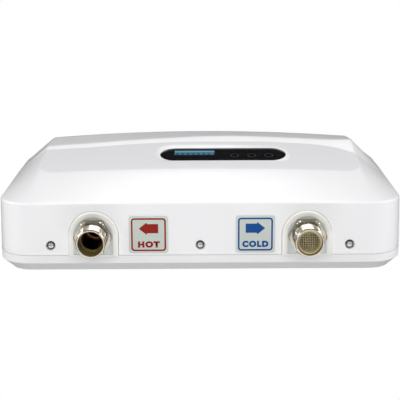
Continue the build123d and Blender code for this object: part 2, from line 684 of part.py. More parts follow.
def make_back_plate():
    """Back plate: tray with a sloped rear edge, locating lip, saddles, posts and forked tabs."""
    rear = loft([outline(CHAMFER_INSET, 0), outline(0, CHAMFER_OUT)], ruled=True)
    band = extrude(outline(0, PARTING_OUT), -(PARTING_OUT - CHAMFER_OUT))
    rim_room = loft([outline(CHAMFER_INSET + PLATE_WALL, PLATE_FLOOR), outline(PLATE_WALL, CHAMFER_OUT)], ruled=True)
    deep_room = extrude(outline(PLATE_WALL, PARTING_OUT), -(PARTING_OUT - CHAMFER_OUT))
    plate = rear + band - rim_room - deep_room
    lip_inset = COVER_WALL + CLEAR_GAP
    lip_out = PARTING_OUT + LOCATING_RISE
    lip = extrude(outline(lip_inset, lip_out), -(LOCATING_RISE + PLATE_WALL))
    lip -= extrude(outline(lip_inset + LOCATING_LIP, lip_out), -(LOCATING_RISE + PLATE_WALL))
    for x in (-PIPE_X, PIPE_X):
        half = PAD_RADIUS + PAD_FLANGE + CLEAR_GAP
        lip -= block(x - half, x + half, PARTING_OUT - PLATE_WALL, lip_out, 0, 2 * PAD_RADIUS)
    for x in (-SCREW_X, 0, SCREW_X):
        lip -= block(x - TAB_WIDTH / 2, x + TAB_WIDTH / 2, PARTING_OUT, lip_out, 0, 2 * PAD_RADIUS)
    plate += lip
    groove_inset = (PLATE_WALL - SEAL_WIDTH) / 2 - FIT_GAP
    groove = extrude(outline(groove_inset, PARTING_OUT), -SEAL_HEIGHT)
    groove -= extrude(outline(groove_inset + SEAL_WIDTH + 2 * FIT_GAP, PARTING_OUT), -SEAL_HEIGHT)
    plate -= groove
    for x in (-SCREW_X, 0, SCREW_X):
        plate += tab_block(x)
    for side in (-1, 1):
        saddle = block(side * STRAP_X - STRAP_WIDTH / 2, side * STRAP_X + STRAP_WIDTH / 2, 0, SADDLE_OUT,
                       TANK_UP - TANK_RADIUS - STRAP_FOOT - STRAP_THICKNESS,
                       TANK_UP + TANK_RADIUS + STRAP_FOOT + STRAP_THICKNESS)
        saddle -= rod_across(TANK_RADIUS + TANK_CLEARANCE, PIPE_OUT, TANK_UP, -BODY_WIDTH, BODY_WIDTH)
        plate += saddle
    for pipe in (-PIPE_X, PIPE_X):
        reach = CLAMP_RING_RADIUS + CLAMP_EAR
        cradle = block(pipe - reach, pipe + reach, 0, CRADLE_OUT, CLAMP_UP, CLAMP_UP + CLAMP_LENGTH)
        cradle -= rod_up(CLAMP_RING_RADIUS - CLAMP_WALL, pipe, PIPE_OUT, 0, BODY_HEIGHT)
        plate += cradle
    for x, up in board_places():
        plate += rod_out(BOARD_POST_RADIUS, x, up, 0, BOARD_OUT)
        plate -= rod_out(BOARD_SCREW_RADIUS, x, up, PLATE_FLOOR, BOARD_OUT)
    for x, up in strap_places():
        plate -= rod_out(STRAP_SCREW_RADIUS, x, up, SADDLE_OUT - STRAP_SCREW_LENGTH, SADDLE_OUT)
    for x, up in clamp_places():
        plate -= rod_out(STRAP_SCREW_RADIUS, x, up, CRADLE_OUT - STRAP_SCREW_LENGTH, CRADLE_OUT)
    for x, up in wall_places():
        plate += rod_out(WALL_BOSS_RADIUS, x, up, 0, PLATE_FLOOR + WALL_BOSS_HEIGHT)
        plate -= rod_out(WALL_HOLE_RADIUS, x, up, -CUT_OVERRUN, PLATE_FLOOR + WALL_BOSS_HEIGHT)
    for side in (-1, 1):
        post = block(CABLE_CLAMP_X - CABLE_CLAMP_WIDTH / 2, CABLE_CLAMP_X + CABLE_CLAMP_WIDTH / 2, 0,
                     PLATE_FLOOR + CABLE_CLAMP_POST,
                     TERMINAL_UP + side * CABLE_CLAMP_SCREW_SPACING / 2 - CABLE_CLAMP_WIDTH / 2,
                     TERMINAL_UP + side * CABLE_CLAMP_SCREW_SPACING / 2 + CABLE_CLAMP_WIDTH / 2)
        post -= rod_out(BOARD_SCREW_RADIUS, CABLE_CLAMP_X, TERMINAL_UP + side * CABLE_CLAMP_SCREW_SPACING / 2,
                        PLATE_FLOOR, PLATE_FLOOR + CABLE_CLAMP_POST)
        plate += post
    plate -= rod_out(GROMMET_RADIUS, GROMMET_X, TERMINAL_UP, -CUT_OVERRUN, PLATE_FLOOR)
    return plate


def make_cover_seal():
    """Rubber seal in the groove of the back plate's rim."""
    inset = (PLATE_WALL - SEAL_WIDTH) / 2
    top = PARTING_OUT + PARTING_GAP / 2
    ring = extrude(outline(inset, top), -(SEAL_HEIGHT + PARTING_GAP / 2 - FIT_GAP))
    ring -= extrude(outline(inset + SEAL_WIDTH, top), -(SEAL_HEIGHT + PARTING_GAP / 2 - FIT_GAP))
    for x in (-PIPE_X, PIPE_X):
        ring -= block(x - PAD_RADIUS - CLEAR_GAP, x + PAD_RADIUS + CLEAR_GAP,
                      PARTING_OUT, PARTING_OUT + PARTING_GAP, 0, PAD_RADIUS)
    return ring


# %% Cover screws and nuts
def make_cover_screws():
    """Three cross-slotted screws in the wells of the cover's bottom wall."""
    screws = []
    for x in (-SCREW_X, 0, SCREW_X):
        head_top = SCREW_HEAD_SINK + SCREW_HEAD_THICKNESS
        screw = rod_up(SCREW_HEAD_RADIUS, x, SCREW_OUT, SCREW_HEAD_SINK, head_top)
        nut_top = TAB_UP + TAB_THICKNESS + FIT_GAP + NUT_THICKNESS
        screw += rod_up(SCREW_SHANK_RADIUS, x, SCREW_OUT, head_top, nut_top + SCREW_SHANK_RADIUS)
        screw -= rod_up(SCREW_SOCKET_RADIUS, x, SCREW_OUT, SCREW_HEAD_SINK - CUT_OVERRUN,
                        SCREW_HEAD_SINK + SCREW_HEAD_THICKNESS / 2)
        screws.append(screw)
    return together(screws)


def make_cover_nuts():
    """Square nuts behind the forked tabs."""
    up_from = TAB_UP + TAB_THICKNESS + FIT_GAP
    nuts = []
    for x in (-SCREW_X, 0, SCREW_X):
        nut = block(x - NUT_SIDE / 2, x + NUT_SIDE / 2, SCREW_OUT - NUT_SIDE / 2, SCREW_OUT + NUT_SIDE / 2,
                    up_from, up_from + NUT_THICKNESS)
        nuts.append(nut - rod_up(SCREW_SHANK_RADIUS, x, SCREW_OUT, up_from, up_from + NUT_THICKNESS))
    return together(nuts)


# %% Pads and labels on the bottom face
def make_pad(x):
    """Frosted pad: D-shaped face with a recessed arch, and a flange behind the wall."""
    face = slot_block(0, -PAD_PROUD, COVER_WALL, x)
    edge = face.faces().sort_by(Axis.Z)[0].edges()
    face = chamfer(edge, PAD_BEVEL)
    inner_up = COVER_WALL + lean_at(PIPE_OUT + PAD_RADIUS + PAD_FLANGE) + CLEAR_GAP
    flange = slot_block(PAD_FLANGE, inner_up, inner_up + PAD_FLANGE_THICKNESS, x)
    neck = slot_block(-PAD_FLANGE, COVER_WALL, inner_up, x)
    pad = face + neck + flange
    recess = rod_up(PAD_INNER_RADIUS, x, PIPE_OUT, -PAD_PROUD - CUT_OVERRUN, -PAD_PROUD + PAD_RECESS)
    recess += block(x - PAD_INNER_RADIUS, x + PAD_INNER_RADIUS,
                    PAD_BOTTOM_OUT + PAD_RADIUS - PAD_INNER_RADIUS, PIPE_OUT,
                    -PAD_PROUD - CUT_OVERRUN, -PAD_PROUD + PAD_RECESS)
    pad -= recess
    pad -= rod_up(SHANK_RADIUS + FIT_GAP, x, PIPE_OUT, -PAD_PROUD - CUT_OVERRUN, BODY_HEIGHT)
    return pad


def make_label(x):
    """Rounded label plate on the leaning bottom wall."""
    lean = DRAFT_ANGLE
    place = Pos(x, -LABEL_OUT, lean_at(LABEL_OUT) - HALF_HEIGHT) * Rot(180 - lean, 0, 0)
    return extrude(place * RectangleRounded(LABEL_WIDTH, LABEL_HEIGHT, LABEL_CORNER), LABEL_THICKNESS)


# %% Pipe stubs
def make_stub(x):
    """Brass stub: thread envelope, hexagon, shank with an O-ring groove, stepped bore."""
    tip = -STUB_PROJECTION
    hex_back = -PAD_PROUD + PAD_RECESS - FIT_GAP
    hex_front = hex_back - HEX_THICKNESS
    collar = chamfer(rod_up(THREAD_RADIUS, x, PIPE_OUT, tip, hex_front).edges().sort_by(Axis.Z)[0], THREAD_LEAD_IN)
    nut = hex_up(HEX_FLATS, x, PIPE_OUT, hex_front, hex_back)
    corner = HEX_FLATS / 2 / math.cos(math.pi / 6)
    bevel = Pos(x, -PIPE_OUT, hex_front - HALF_HEIGHT + HEX_THICKNESS / 2) * Cone(
        corner * HEX_BEVEL_SHARE, corner * HEX_BEVEL_SHARE + HEX_THICKNESS, HEX_THICKNESS)
    stub = collar + (nut & bevel)
    stub += rod_up(SHANK_RADIUS, x, PIPE_OUT, hex_back, SHANK_UP)
    groove = rod_up(SHANK_RADIUS + FIT_GAP, x, PIPE_OUT, ORING_UP - ORING_RADIUS, ORING_UP + ORING_RADIUS)
    groove -= rod_up(SHANK_RADIUS - ORING_RADIUS, x, PIPE_OUT, ORING_UP - ORING_RADIUS, ORING_UP + ORING_RADIUS)
    stub -= groove
    stub -= rod_up(STUB_BORE_RADIUS, x, PIPE_OUT, tip, tip + STUB_BORE_DEPTH)
    stub -= rod_up(STUB_THROAT_RADIUS, x, PIPE_OUT, tip, SHANK_UP)
    mouth = Cone(STUB_MOUTH_RADIUS, STUB_BORE_RADIUS, STUB_MOUTH_DEPTH)
    stub -= Pos(x, -PIPE_OUT, tip + STUB_MOUTH_DEPTH / 2 - HALF_HEIGHT) * mouth
    return stub


def make_stub_seals():
    """O-rings between the shanks and their sockets."""
    rings = []
    for x in (-PIPE_X, PIPE_X):
        outer = SHANK_RADIUS + FIT_GAP / 2
        ring = rod_up(outer, x, PIPE_OUT, ORING_UP - ORING_RADIUS + FIT_GAP, ORING_UP + ORING_RADIUS - FIT_GAP)
        ring -= rod_up(SHANK_RADIUS - ORING_RADIUS + FIT_GAP, x, PIPE_OUT, ORING_UP - ORING_RADIUS,
                       ORING_UP + ORING_RADIUS)
        rings.append(ring)
    return together(rings)


# %% Inlet filter
FILTER_RADIUS = STUB_BORE_RADIUS - FIT_GAP
FILTER_FRONT_UP = -STUB_PROJECTION + FILTER_SINK
MESH_RADIUS = FILTER_RADIUS - FILTER_RING_WALL / 2


def make_filter_ring():
    """Ring that slides into the inlet's bore, with a seat for the mesh disc."""
    top = FILTER_FRONT_UP + FILTER_RING_LENGTH
    ring = rod_up(FILTER_RADIUS, PIPE_X, PIPE_OUT, FILTER_FRONT_UP, top)
    ring -= rod_up(FILTER_RADIUS - FILTER_RING_WALL, PIPE_X, PIPE_OUT, FILTER_FRONT_UP, top)
    ring -= rod_up(MESH_RADIUS, PIPE_X, PIPE_OUT, FILTER_FRONT_UP, FILTER_FRONT_UP + FILTER_WIRE)
    return ring


def make_filter_mesh():
    """Mesh disc in the ring: one holed sheet of wire thickness."""
    disc = Circle(MESH_RADIUS)
    hole = FILTER_PITCH - FILTER_WIRE
    count = int(2 * MESH_RADIUS / FILTER_PITCH)
    limit = MESH_RADIUS - FILTER_RING_WALL / 2 - hole / 2
    places = []
    for row in range(count):
        for column in range(count):
            dx = (column - (count - 1) / 2) * FILTER_PITCH
            dy = (row - (count - 1) / 2) * FILTER_PITCH
            if math.hypot(dx, dy) < limit:
                places.append((dx, dy))
    mesh = disc - Sketch() - [Pos(dx, dy) * Rectangle(hole, hole) for dx, dy in places]
    plane = Plane(origin=(PIPE_X, -PIPE_OUT, FILTER_FRONT_UP - HALF_HEIGHT), z_dir=(0, 0, 1))
    return extrude(plane * mesh, FILTER_WIRE)


# %% Water path inside
def make_outlet_pipe():
    """Copper pipe from the tank down to the outlet stub, with a socket at its foot."""
    x = -PIPE_X
    pipe = rod_up(PIPE_RADIUS, x, PIPE_OUT, OUTLET_SOCKET_TOP, TANK_UP)
    pipe += rod_up(SHANK_RADIUS + SOCKET_WALL, x, PIPE_OUT, CLAMP_UP - CLAMP_WALL, OUTLET_SOCKET_TOP)
    pipe -= rod_up(PIPE_RADIUS - PIPE_WALL, x, PIPE_OUT, 0, TANK_UP)
    pipe -= rod_up(SHANK_RADIUS + FIT_GAP, x, PIPE_OUT, 0, SHANK_UP + FIT_GAP)
    pipe -= rod_across(TANK_RADIUS, PIPE_OUT, TANK_UP, -BODY_WIDTH, BODY_WIDTH)
    pipe -= rod_out(PROBE_TIP_RADIUS + FIT_GAP, x, PROBE_UP, PIPE_OUT, PIPE_OUT + BODY_HEIGHT)
    return pipe


def make_inlet_pipe():
    """Copper pipe from the flow sensor up to the tank."""
    x = PIPE_X
    pipe = rod_up(PIPE_RADIUS, x, PIPE_OUT, SENSOR_TOP, TANK_UP)
    pipe -= rod_up(PIPE_RADIUS - PIPE_WALL, x, PIPE_OUT, 0, TANK_UP)
    pipe -= rod_across(TANK_RADIUS, PIPE_OUT, TANK_UP, -BODY_WIDTH, BODY_WIDTH)
    pipe -= rod_out(PROBE_TIP_RADIUS + FIT_GAP, x, PROBE_UP, PIPE_OUT, PIPE_OUT + BODY_HEIGHT)
    return pipe


def make_probe(x):
    """Temperature probe screwed into a pipe from the front."""
    seat = PIPE_OUT + PIPE_RADIUS
    plane = Plane(origin=(x, -seat, PROBE_UP - HALF_HEIGHT), z_dir=(0, -1, 0))
    probe = extrude(plane * RegularPolygon(PROBE_HEX / 2, 6, major_radius=False), PROBE_RADIUS)
    probe += rod_out(PROBE_RADIUS, x, PROBE_UP, seat + PROBE_RADIUS, seat + PROBE_LENGTH)
    probe += rod_out(PROBE_TIP_RADIUS, x, PROBE_UP, PIPE_OUT, seat)
    return probe


def make_sensor_body():
    """Flow sensor housing: socket for the inlet stub, turbine chamber, pipe outlet."""
    x = PIPE_X
    body = rod_up(SHANK_RADIUS + SOCKET_WALL, x, PIPE_OUT, CLAMP_UP - CLAMP_WALL, CHAMBER_FLOOR_UP)
    body += rod_up(SENSOR_RADIUS, x, PIPE_OUT, CLAMP_UP + CLAMP_LENGTH + FIT_GAP, SENSOR_TOP)
    body -= rod_up(SHANK_RADIUS + FIT_GAP, x, PIPE_OUT, 0, SHANK_UP + FIT_GAP)
    body -= rod_up(PIPE_RADIUS - PIPE_WALL, x, PIPE_OUT, 0, SENSOR_TOP)
    body -= rod_up(CHAMBER_RADIUS, x, PIPE_OUT, CHAMBER_FLOOR_UP, CHAMBER_ROOF_UP)
    return body


def make_spiders():
    """Two bearing spiders that hold the turbine's axle in the chamber."""
    spiders = []
    for up_from in (CHAMBER_FLOOR_UP, CHAMBER_ROOF_UP - SPIDER_THICKNESS):
        up_to = up_from + SPIDER_THICKNESS
        spider = rod_up(CHAMBER_RADIUS - FIT_GAP / 2, PIPE_X, PIPE_OUT, up_from, up_to)
        spider -= rod_up(CHAMBER_RADIUS - SPIDER_ARM, PIPE_X, PIPE_OUT, up_from, up_to)
        spider += rod_up(SPIDER_HUB_RADIUS, PIPE_X, PIPE_OUT, up_from, up_to)
        for count in range(SPIDER_ARM_COUNT):
            turn = 360 / SPIDER_ARM_COUNT * count
            reach = CHAMBER_RADIUS - SPIDER_ARM / 2
            arm = Pos(PIPE_X, -PIPE_OUT, (up_from + up_to) / 2 - HALF_HEIGHT) * Rot(0, 0, turn) * Pos(reach / 2, 0, 0)
            spider += arm * Box(reach, SPIDER_ARM, SPIDER_THICKNESS)
        spider -= rod_up(AXLE_RADIUS, PIPE_X, PIPE_OUT, up_from, up_to)
        spiders.append(spider)
    return together(spiders)


TURBINE_UP = (CHAMBER_FLOOR_UP + CHAMBER_ROOF_UP) / 2


def make_turbine():
    """Turbine with twisted blades and a bored hub."""
    low = TURBINE_UP - TURBINE_LENGTH / 2
    wheel = rod_up(TURBINE_HUB_RADIUS, 0, 0, low, low + TURBINE_LENGTH)
    slices = 2
    for count in range(TURBINE_BLADE_COUNT):
        first = 360 / TURBINE_BLADE_COUNT * count
        faces = []
        for step in range(slices + 1):
            share = step / slices
            plane = Plane(origin=(0, 0, low - HALF_HEIGHT + TURBINE_LENGTH * share), z_dir=(0, 0, 1))
            span = TURBINE_RADIUS - TURBINE_HUB_RADIUS / 2
            faces.append(plane * Rot(0, 0, first + TURBINE_TWIST * share)
                         * Pos(TURBINE_HUB_RADIUS / 2 + span / 2, 0) * Rectangle(span, TURBINE_BLADE))
        wheel += loft(faces)
    wheel -= rod_up(AXLE_RADIUS + FIT_GAP / 2, 0, 0, low, low + TURBINE_LENGTH)
    return Pos(PIPE_X, -PIPE_OUT, 0) * wheel


def make_axle():
    """Steel axle between the two spiders."""
    return rod_up(AXLE_RADIUS, PIPE_X, PIPE_OUT, CHAMBER_FLOOR_UP, CHAMBER_ROOF_UP)


def make_hall_sensor():
    """Magnetic pick-up clipped to the front of the flow sensor."""
    pick_up = block_at(PIPE_X, PIPE_OUT + SENSOR_RADIUS - AXLE_RADIUS, TURBINE_UP,
                       (HALL_WIDTH, HALL_DEPTH, HALL_HEIGHT))
    return pick_up - rod_up(SENSOR_RADIUS, PIPE_X, PIPE_OUT, 0, BODY_HEIGHT)


# %% Tank
def make_tank_shell():
    """Stainless tube of the tank with its two ports and an earth stud."""
    shell = rod_across(TANK_RADIUS, PIPE_OUT, TANK_UP, -TANK_HALF_LENGTH, TANK_HALF_LENGTH)
    shell -= rod_across(TANK_RADIUS - TANK_WALL, PIPE_OUT, TANK_UP, -TANK_HALF_LENGTH, TANK_HALF_LENGTH)
    for x in (-PIPE_X, PIPE_X):
        shell -= rod_up(PIPE_RADIUS - PIPE_WALL, x, PIPE_OUT, 0, TANK_UP)
    top = TANK_UP + TANK_RADIUS
    stud = rod_up(EARTH_STUD_RADIUS, EARTH_X, PIPE_OUT, top - TANK_WALL, top + EARTH_STUD_LENGTH)
    return shell + stud


def element_legs():
    """Places of the four element legs as (out, up)."""
    return [(PIPE_OUT + side * ELEMENT_SPREAD, TANK_UP + lift * ELEMENT_BEND_RADIUS)
            for side in (-1, 1) for lift in (-1, 1)]


def make_tank_cap(side):
    """Pressed end cap; the right-hand one has the four element holes."""
    inner = TANK_HALF_LENGTH
    outer = TANK_HALF_LENGTH + TANK_CAP_THICKNESS
    x_from, x_to = (inner, outer) if side > 0 else (-outer, -inner)
    cap = rod_across(TANK_RADIUS + TANK_CAP_RIM, PIPE_OUT, TANK_UP, x_from, x_to)
    if side > 0:
        for out, up in element_legs():
            cap -= rod_across(ELEMENT_RADIUS, out, up, x_from, x_to)
    return cap


def make_elements():
    """Two hairpin heating elements whose legs pass through the right-hand cap."""
    elements = []
    right = TANK_HALF_LENGTH + TANK_CAP_THICKNESS
    left = -TANK_HALF_LENGTH + ELEMENT_END_ROOM
    for side in (-1, 1):
        out = PIPE_OUT + side * ELEMENT_SPREAD
        y = -out
        low = TANK_UP - ELEMENT_BEND_RADIUS - HALF_HEIGHT
        high = TANK_UP + ELEMENT_BEND_RADIUS - HALF_HEIGHT
        path = (Line((right, y, low), (left, y, low))
                + ThreePointArc((left, y, low), (left - ELEMENT_BEND_RADIUS, y, (low + high) / 2), (left, y, high))
                + Line((left, y, high), (right, y, high)))
        start = Plane(origin=(right, y, low), z_dir=(-1, 0, 0))
        elements.append(sweep(start * Circle(ELEMENT_RADIUS), path=path))
    return together(elements)


def make_element_bushes():
    """Ceramic bushes at the ends of the element legs."""
    start = TANK_HALF_LENGTH + TANK_CAP_THICKNESS
    return together([rod_across(ELEMENT_BUSH_RADIUS, out, up, start, start + ELEMENT_BUSH_LENGTH)
                     for out, up in element_legs()])


def make_element_pins():
    """Terminal pins that stand out of the bushes."""
    start = TANK_HALF_LENGTH + TANK_CAP_THICKNESS + ELEMENT_BUSH_LENGTH
    return together([rod_across(ELEMENT_PIN_RADIUS, out, up, start, start + ELEMENT_PIN_LENGTH)
                     for out, up in element_legs()])


def make_straps():
    """Two metal straps over the tank, with feet on the saddles."""
    straps = []
    inner = TANK_RADIUS + FIT_GAP
    for side in (-1, 1):
        x_from = side * STRAP_X - STRAP_WIDTH / 2
        x_to = side * STRAP_X + STRAP_WIDTH / 2
        outer = inner + STRAP_THICKNESS
        band = rod_across(outer, PIPE_OUT, TANK_UP, x_from, x_to)
        band += block(x_from, x_to, SADDLE_OUT, PIPE_OUT, TANK_UP - outer, TANK_UP + outer)
        band += block(x_from, x_to, SADDLE_OUT, SADDLE_OUT + STRAP_THICKNESS,
                      TANK_UP - outer - STRAP_FOOT, TANK_UP + outer + STRAP_FOOT)
        band -= rod_across(inner, PIPE_OUT, TANK_UP, x_from, x_to)
        band -= block(x_from, x_to, 0, SADDLE_OUT, 0, BODY_HEIGHT)
        band -= block(x_from, x_to, SADDLE_OUT, PIPE_OUT, TANK_UP - inner, TANK_UP + inner)
        for x, up in strap_places():
            band -= rod_out(STRAP_SCREW_RADIUS, x, up, SADDLE_OUT, SADDLE_OUT + STRAP_THICKNESS)
        straps.append(band)
    return together(straps)


def make_strap_screws():
    """Screws through the feet of the straps."""
    seat = SADDLE_OUT + STRAP_THICKNESS
    screws = []
    for x, up in strap_places():
        head = rod_out(STRAP_SCREW_HEAD, x, up, seat, seat + STRAP_SCREW_RADIUS)
        screws.append(head + rod_out(STRAP_SCREW_RADIUS, x, up, SADDLE_OUT - STRAP_SCREW_LENGTH, seat))
    return together(screws)


def make_pipe_clamps():
    """Moulded clamps that hold the two sockets down on their cradles."""
    clamps = []
    inner = CLAMP_RING_RADIUS - CLAMP_WALL
    reach = CLAMP_RING_RADIUS + CLAMP_EAR
    for pipe in (-PIPE_X, PIPE_X):
        up_to = CLAMP_UP + CLAMP_LENGTH
        clamp = rod_up(CLAMP_RING_RADIUS, pipe, PIPE_OUT, CLAMP_UP, up_to)
        clamp += block(pipe - CLAMP_RING_RADIUS, pipe + CLAMP_RING_RADIUS, CRADLE_OUT, PIPE_OUT, CLAMP_UP, up_to)
        clamp += block(pipe - reach, pipe + reach, CRADLE_OUT, CRADLE_OUT + CLAMP_WALL, CLAMP_UP, up_to)
        clamp -= block(pipe - BODY_WIDTH, pipe + BODY_WIDTH, 0, CRADLE_OUT, 0, BODY_HEIGHT)
        clamp -= block(pipe - inner, pipe + inner, 0, PIPE_OUT, 0, BODY_HEIGHT)
        clamp -= rod_up(inner, pipe, PIPE_OUT, 0, BODY_HEIGHT)
        for x, up in clamp_places():
            clamp -= rod_out(STRAP_SCREW_RADIUS, x, up, CRADLE_OUT, CRADLE_OUT + CLAMP_WALL)
        clamps.append(clamp)
    return together(clamps)


def make_pipe_clamp_screws():
    """Screws through the ears of the pipe clamps."""
    seat = CRADLE_OUT + CLAMP_WALL
    screws = []
    for x, up in clamp_places():
        head = rod_out(STRAP_SCREW_HEAD, x, up, seat, seat + STRAP_SCREW_RADIUS)
        screws.append(head + rod_out(STRAP_SCREW_RADIUS, x, up, CRADLE_OUT - STRAP_SCREW_LENGTH, seat))
    return together(screws)


# %% Thermal cut-out
def make_cutout():
    """Thermal cut-out: saddle flange on the tank, round housing, two tags and the button's hole."""
    flange = block(CUTOUT_X - CUTOUT_FLANGE_X / 2, CUTOUT_X + CUTOUT_FLANGE_X / 2, CUTOUT_SEAT_OUT,
                   CUTOUT_FLANGE_TOP, TANK_UP - CUTOUT_FLANGE_UP / 2, TANK_UP + CUTOUT_FLANGE_UP / 2)
    flange -= rod_across(TANK_RADIUS, PIPE_OUT, TANK_UP, -BODY_WIDTH, BODY_WIDTH)
    top = CUTOUT_FLANGE_TOP + CUTOUT_HEIGHT
    housing = rod_out(CUTOUT_RADIUS, CUTOUT_X, TANK_UP, CUTOUT_FLANGE_TOP, top)
    body = flange + housing
    for side in (-1, 1):
        tag = block(CUTOUT_X - TAG_WIDTH / 2, CUTOUT_X + TAG_WIDTH / 2, top - TAG_THICKNESS * 2, top - TAG_THICKNESS,
                    TANK_UP, TANK_UP + CUTOUT_RADIUS + TAG_LENGTH)
        body += tag if side > 0 else tag.mirror(Plane.XY.offset(TANK_UP - HALF_HEIGHT))
    body -= rod_out(BUTTON_RADIUS + FIT_GAP, CUTOUT_X, TANK_UP, top - BUTTON_DEPTH - BUTTON_TRAVEL, top + CUT_OVERRUN)
    return body


def make_reset_button():
    """Reset button of the thermal cut-out."""
    top = CUTOUT_FLANGE_TOP + CUTOUT_HEIGHT
    button = rod_out(BUTTON_RADIUS, CUTOUT_X, TANK_UP, top - BUTTON_DEPTH + FIT_GAP, top + BUTTON_PROUD)
    return fillet(button.edges().sort_by(Axis.Y)[0], BUTTON_RADIUS / 3)


# %% Power switches
def make_triac_plate():
    """Aluminium saddle that cools the switches on the cold wall of the tank."""
    half = TRIAC_PLATE_LENGTH / 2
    plate = block(TRIAC_PLATE_X - half, TRIAC_PLATE_X + half, CUTOUT_SEAT_OUT, CUTOUT_FLANGE_TOP,
                  TANK_UP - TRIAC_PLATE_UP / 2, TANK_UP + TRIAC_PLATE_UP / 2)
    plate -= rod_across(TANK_RADIUS, PIPE_OUT, TANK_UP, -BODY_WIDTH, BODY_WIDTH)
    for x in triac_places():
        plate -= rod_out(TRIAC_SCREW_RADIUS, x, triac_screw_up(), PIPE_OUT, CUTOUT_FLANGE_TOP)
    return plate


def triac_places():
    """Places of the two switches along the saddle."""
    return [TRIAC_PLATE_X + side * TRIAC_PITCH / 2 for side in (-1, 1)]


def triac_screw_up():
    """Height of the switch screws."""
    return TANK_UP + TRIAC_HEIGHT / 4


def make_triacs():
    """Two flat power switches with three legs each."""
    switches = []
    for x in triac_places():
        body = block(x - TRIAC_WIDTH / 2, x + TRIAC_WIDTH / 2, CUTOUT_FLANGE_TOP,
                     CUTOUT_FLANGE_TOP + TRIAC_THICKNESS, TANK_UP - TRIAC_HEIGHT / 2, TANK_UP + TRIAC_HEIGHT / 2)
        for leg in (-1, 0, 1):
            middle = x + leg * TRIAC_LEG_PITCH
            body += block(middle - TRIAC_LEG / 2, middle + TRIAC_LEG / 2,
                          CUTOUT_FLANGE_TOP + TRIAC_THICKNESS / 2, CUTOUT_FLANGE_TOP + TRIAC_THICKNESS / 2 + TRIAC_LEG,
                          TANK_UP - TRIAC_HEIGHT / 2 - TRIAC_LEG_LENGTH, TANK_UP)
        body -= rod_out(TRIAC_SCREW_RADIUS, x, triac_screw_up(), PIPE_OUT, BODY_HEIGHT)
        switches.append(body)
    return together(switches)


def make_triac_screws():
    """Screws that press the switches on the saddle."""
    seat = CUTOUT_FLANGE_TOP + TRIAC_THICKNESS
    screws = []
    for x in triac_places():
        head = rod_out(BOARD_SCREW_HEAD, x, triac_screw_up(), seat, seat + BOARD_SCREW_HEAD_THICKNESS)
        shank = rod_out(TRIAC_SCREW_RADIUS, x, triac_screw_up(), CUTOUT_FLANGE_TOP - TRIAC_SCREW_RADIUS, seat)
        screws.append(head + shank)
    return together(screws)


# %% Power board
BOARD_TOP = BOARD_OUT + BOARD_THICKNESS
BOARD_LOW_ROW = BOARD_LOW_UP + BOARD_HOLE_INSET


def make_power_board():
    """Printed power board on its four posts."""
    board = block(-BOARD_LENGTH / 2, BOARD_LENGTH / 2, BOARD_OUT, BOARD_TOP, BOARD_LOW_UP, BOARD_HIGH_UP)
    for x, up in board_places():
        board -= rod_out(BOARD_SCREW_RADIUS, x, up, BOARD_OUT, BOARD_TOP)
    return board


def make_board_screws():
    """Four screws of the power board."""
    screws = []
    for x, up in board_places():
        head = rod_out(BOARD_SCREW_HEAD, x, up, BOARD_TOP, BOARD_TOP + BOARD_SCREW_HEAD_THICKNESS)
        screws.append(head + rod_out(BOARD_SCREW_RADIUS, x, up, PLATE_FLOOR, BOARD_TOP))
    return together(screws)


RELAY_X = -BOARD_LENGTH / 2 + BOARD_HOLE_INSET * 2 + RELAY_SIZE[0] / 2 + PART_SPACING
TRANSFORMER_X = RELAY_X + (RELAY_SIZE[0] + TRANSFORMER_SIZE[0]) / 2 + PART_SPACING
CAPACITOR_X = TRANSFORMER_X + (TRANSFORMER_SIZE[0] + CAPACITOR_SIZE[0]) / 2 + PART_SPACING


def make_capacitors():
    """Two interference capacitors, one above the other."""
    low = BOARD_LOW_UP + CAPACITOR_RISE
    return together([block_at(CAPACITOR_X, BOARD_TOP, low + step * CAPACITOR_PITCH, CAPACITOR_SIZE)
                     for step in (0, 1)])


def make_transformer():
    """Small supply transformer: winding block between the two legs of its core."""
    up = BOARD_LOW_ROW + TRANSFORMER_SIZE[2] / 2
    core = block_at(TRANSFORMER_X, BOARD_TOP, up, TRANSFORMER_SIZE)
    bite = TRANSFORMER_SIZE[2] / 4
    for side in (-1, 1):
        core -= block_at(TRANSFORMER_X, BOARD_TOP, up + side * (TRANSFORMER_SIZE[2] - bite) / 2,
                         (TRANSFORMER_SIZE[0] / 2, TRANSFORMER_SIZE[1], bite))
    return core


CONNECTOR_UP = BOARD_HIGH_UP - CONNECTOR_SIZE[2] / 2 - PART_SPACING / 2
CONNECTOR_SHARES = (-0.28, 0.0, 0.28)


def connector_x(share):
    """Place of a board connector across the board."""
    return share * BOARD_LENGTH


def make_connectors():
    """Three plug-in connectors along the board's upper edge."""
    return together([block_at(connector_x(share), BOARD_TOP, CONNECTOR_UP, CONNECTOR_SIZE)
                     for share in CONNECTOR_SHARES])


# %% Mains side above the tank
TERMINAL_PITCH = TERMINAL_LENGTH / TERMINAL_POLES
TERMINAL_LOW = TERMINAL_UP - TERMINAL_WIDTH / 2


def pole_x(number):
    """Place of one pole of the terminal block."""
    return TERMINAL_X + (number - (TERMINAL_POLES - 1) / 2) * TERMINAL_PITCH


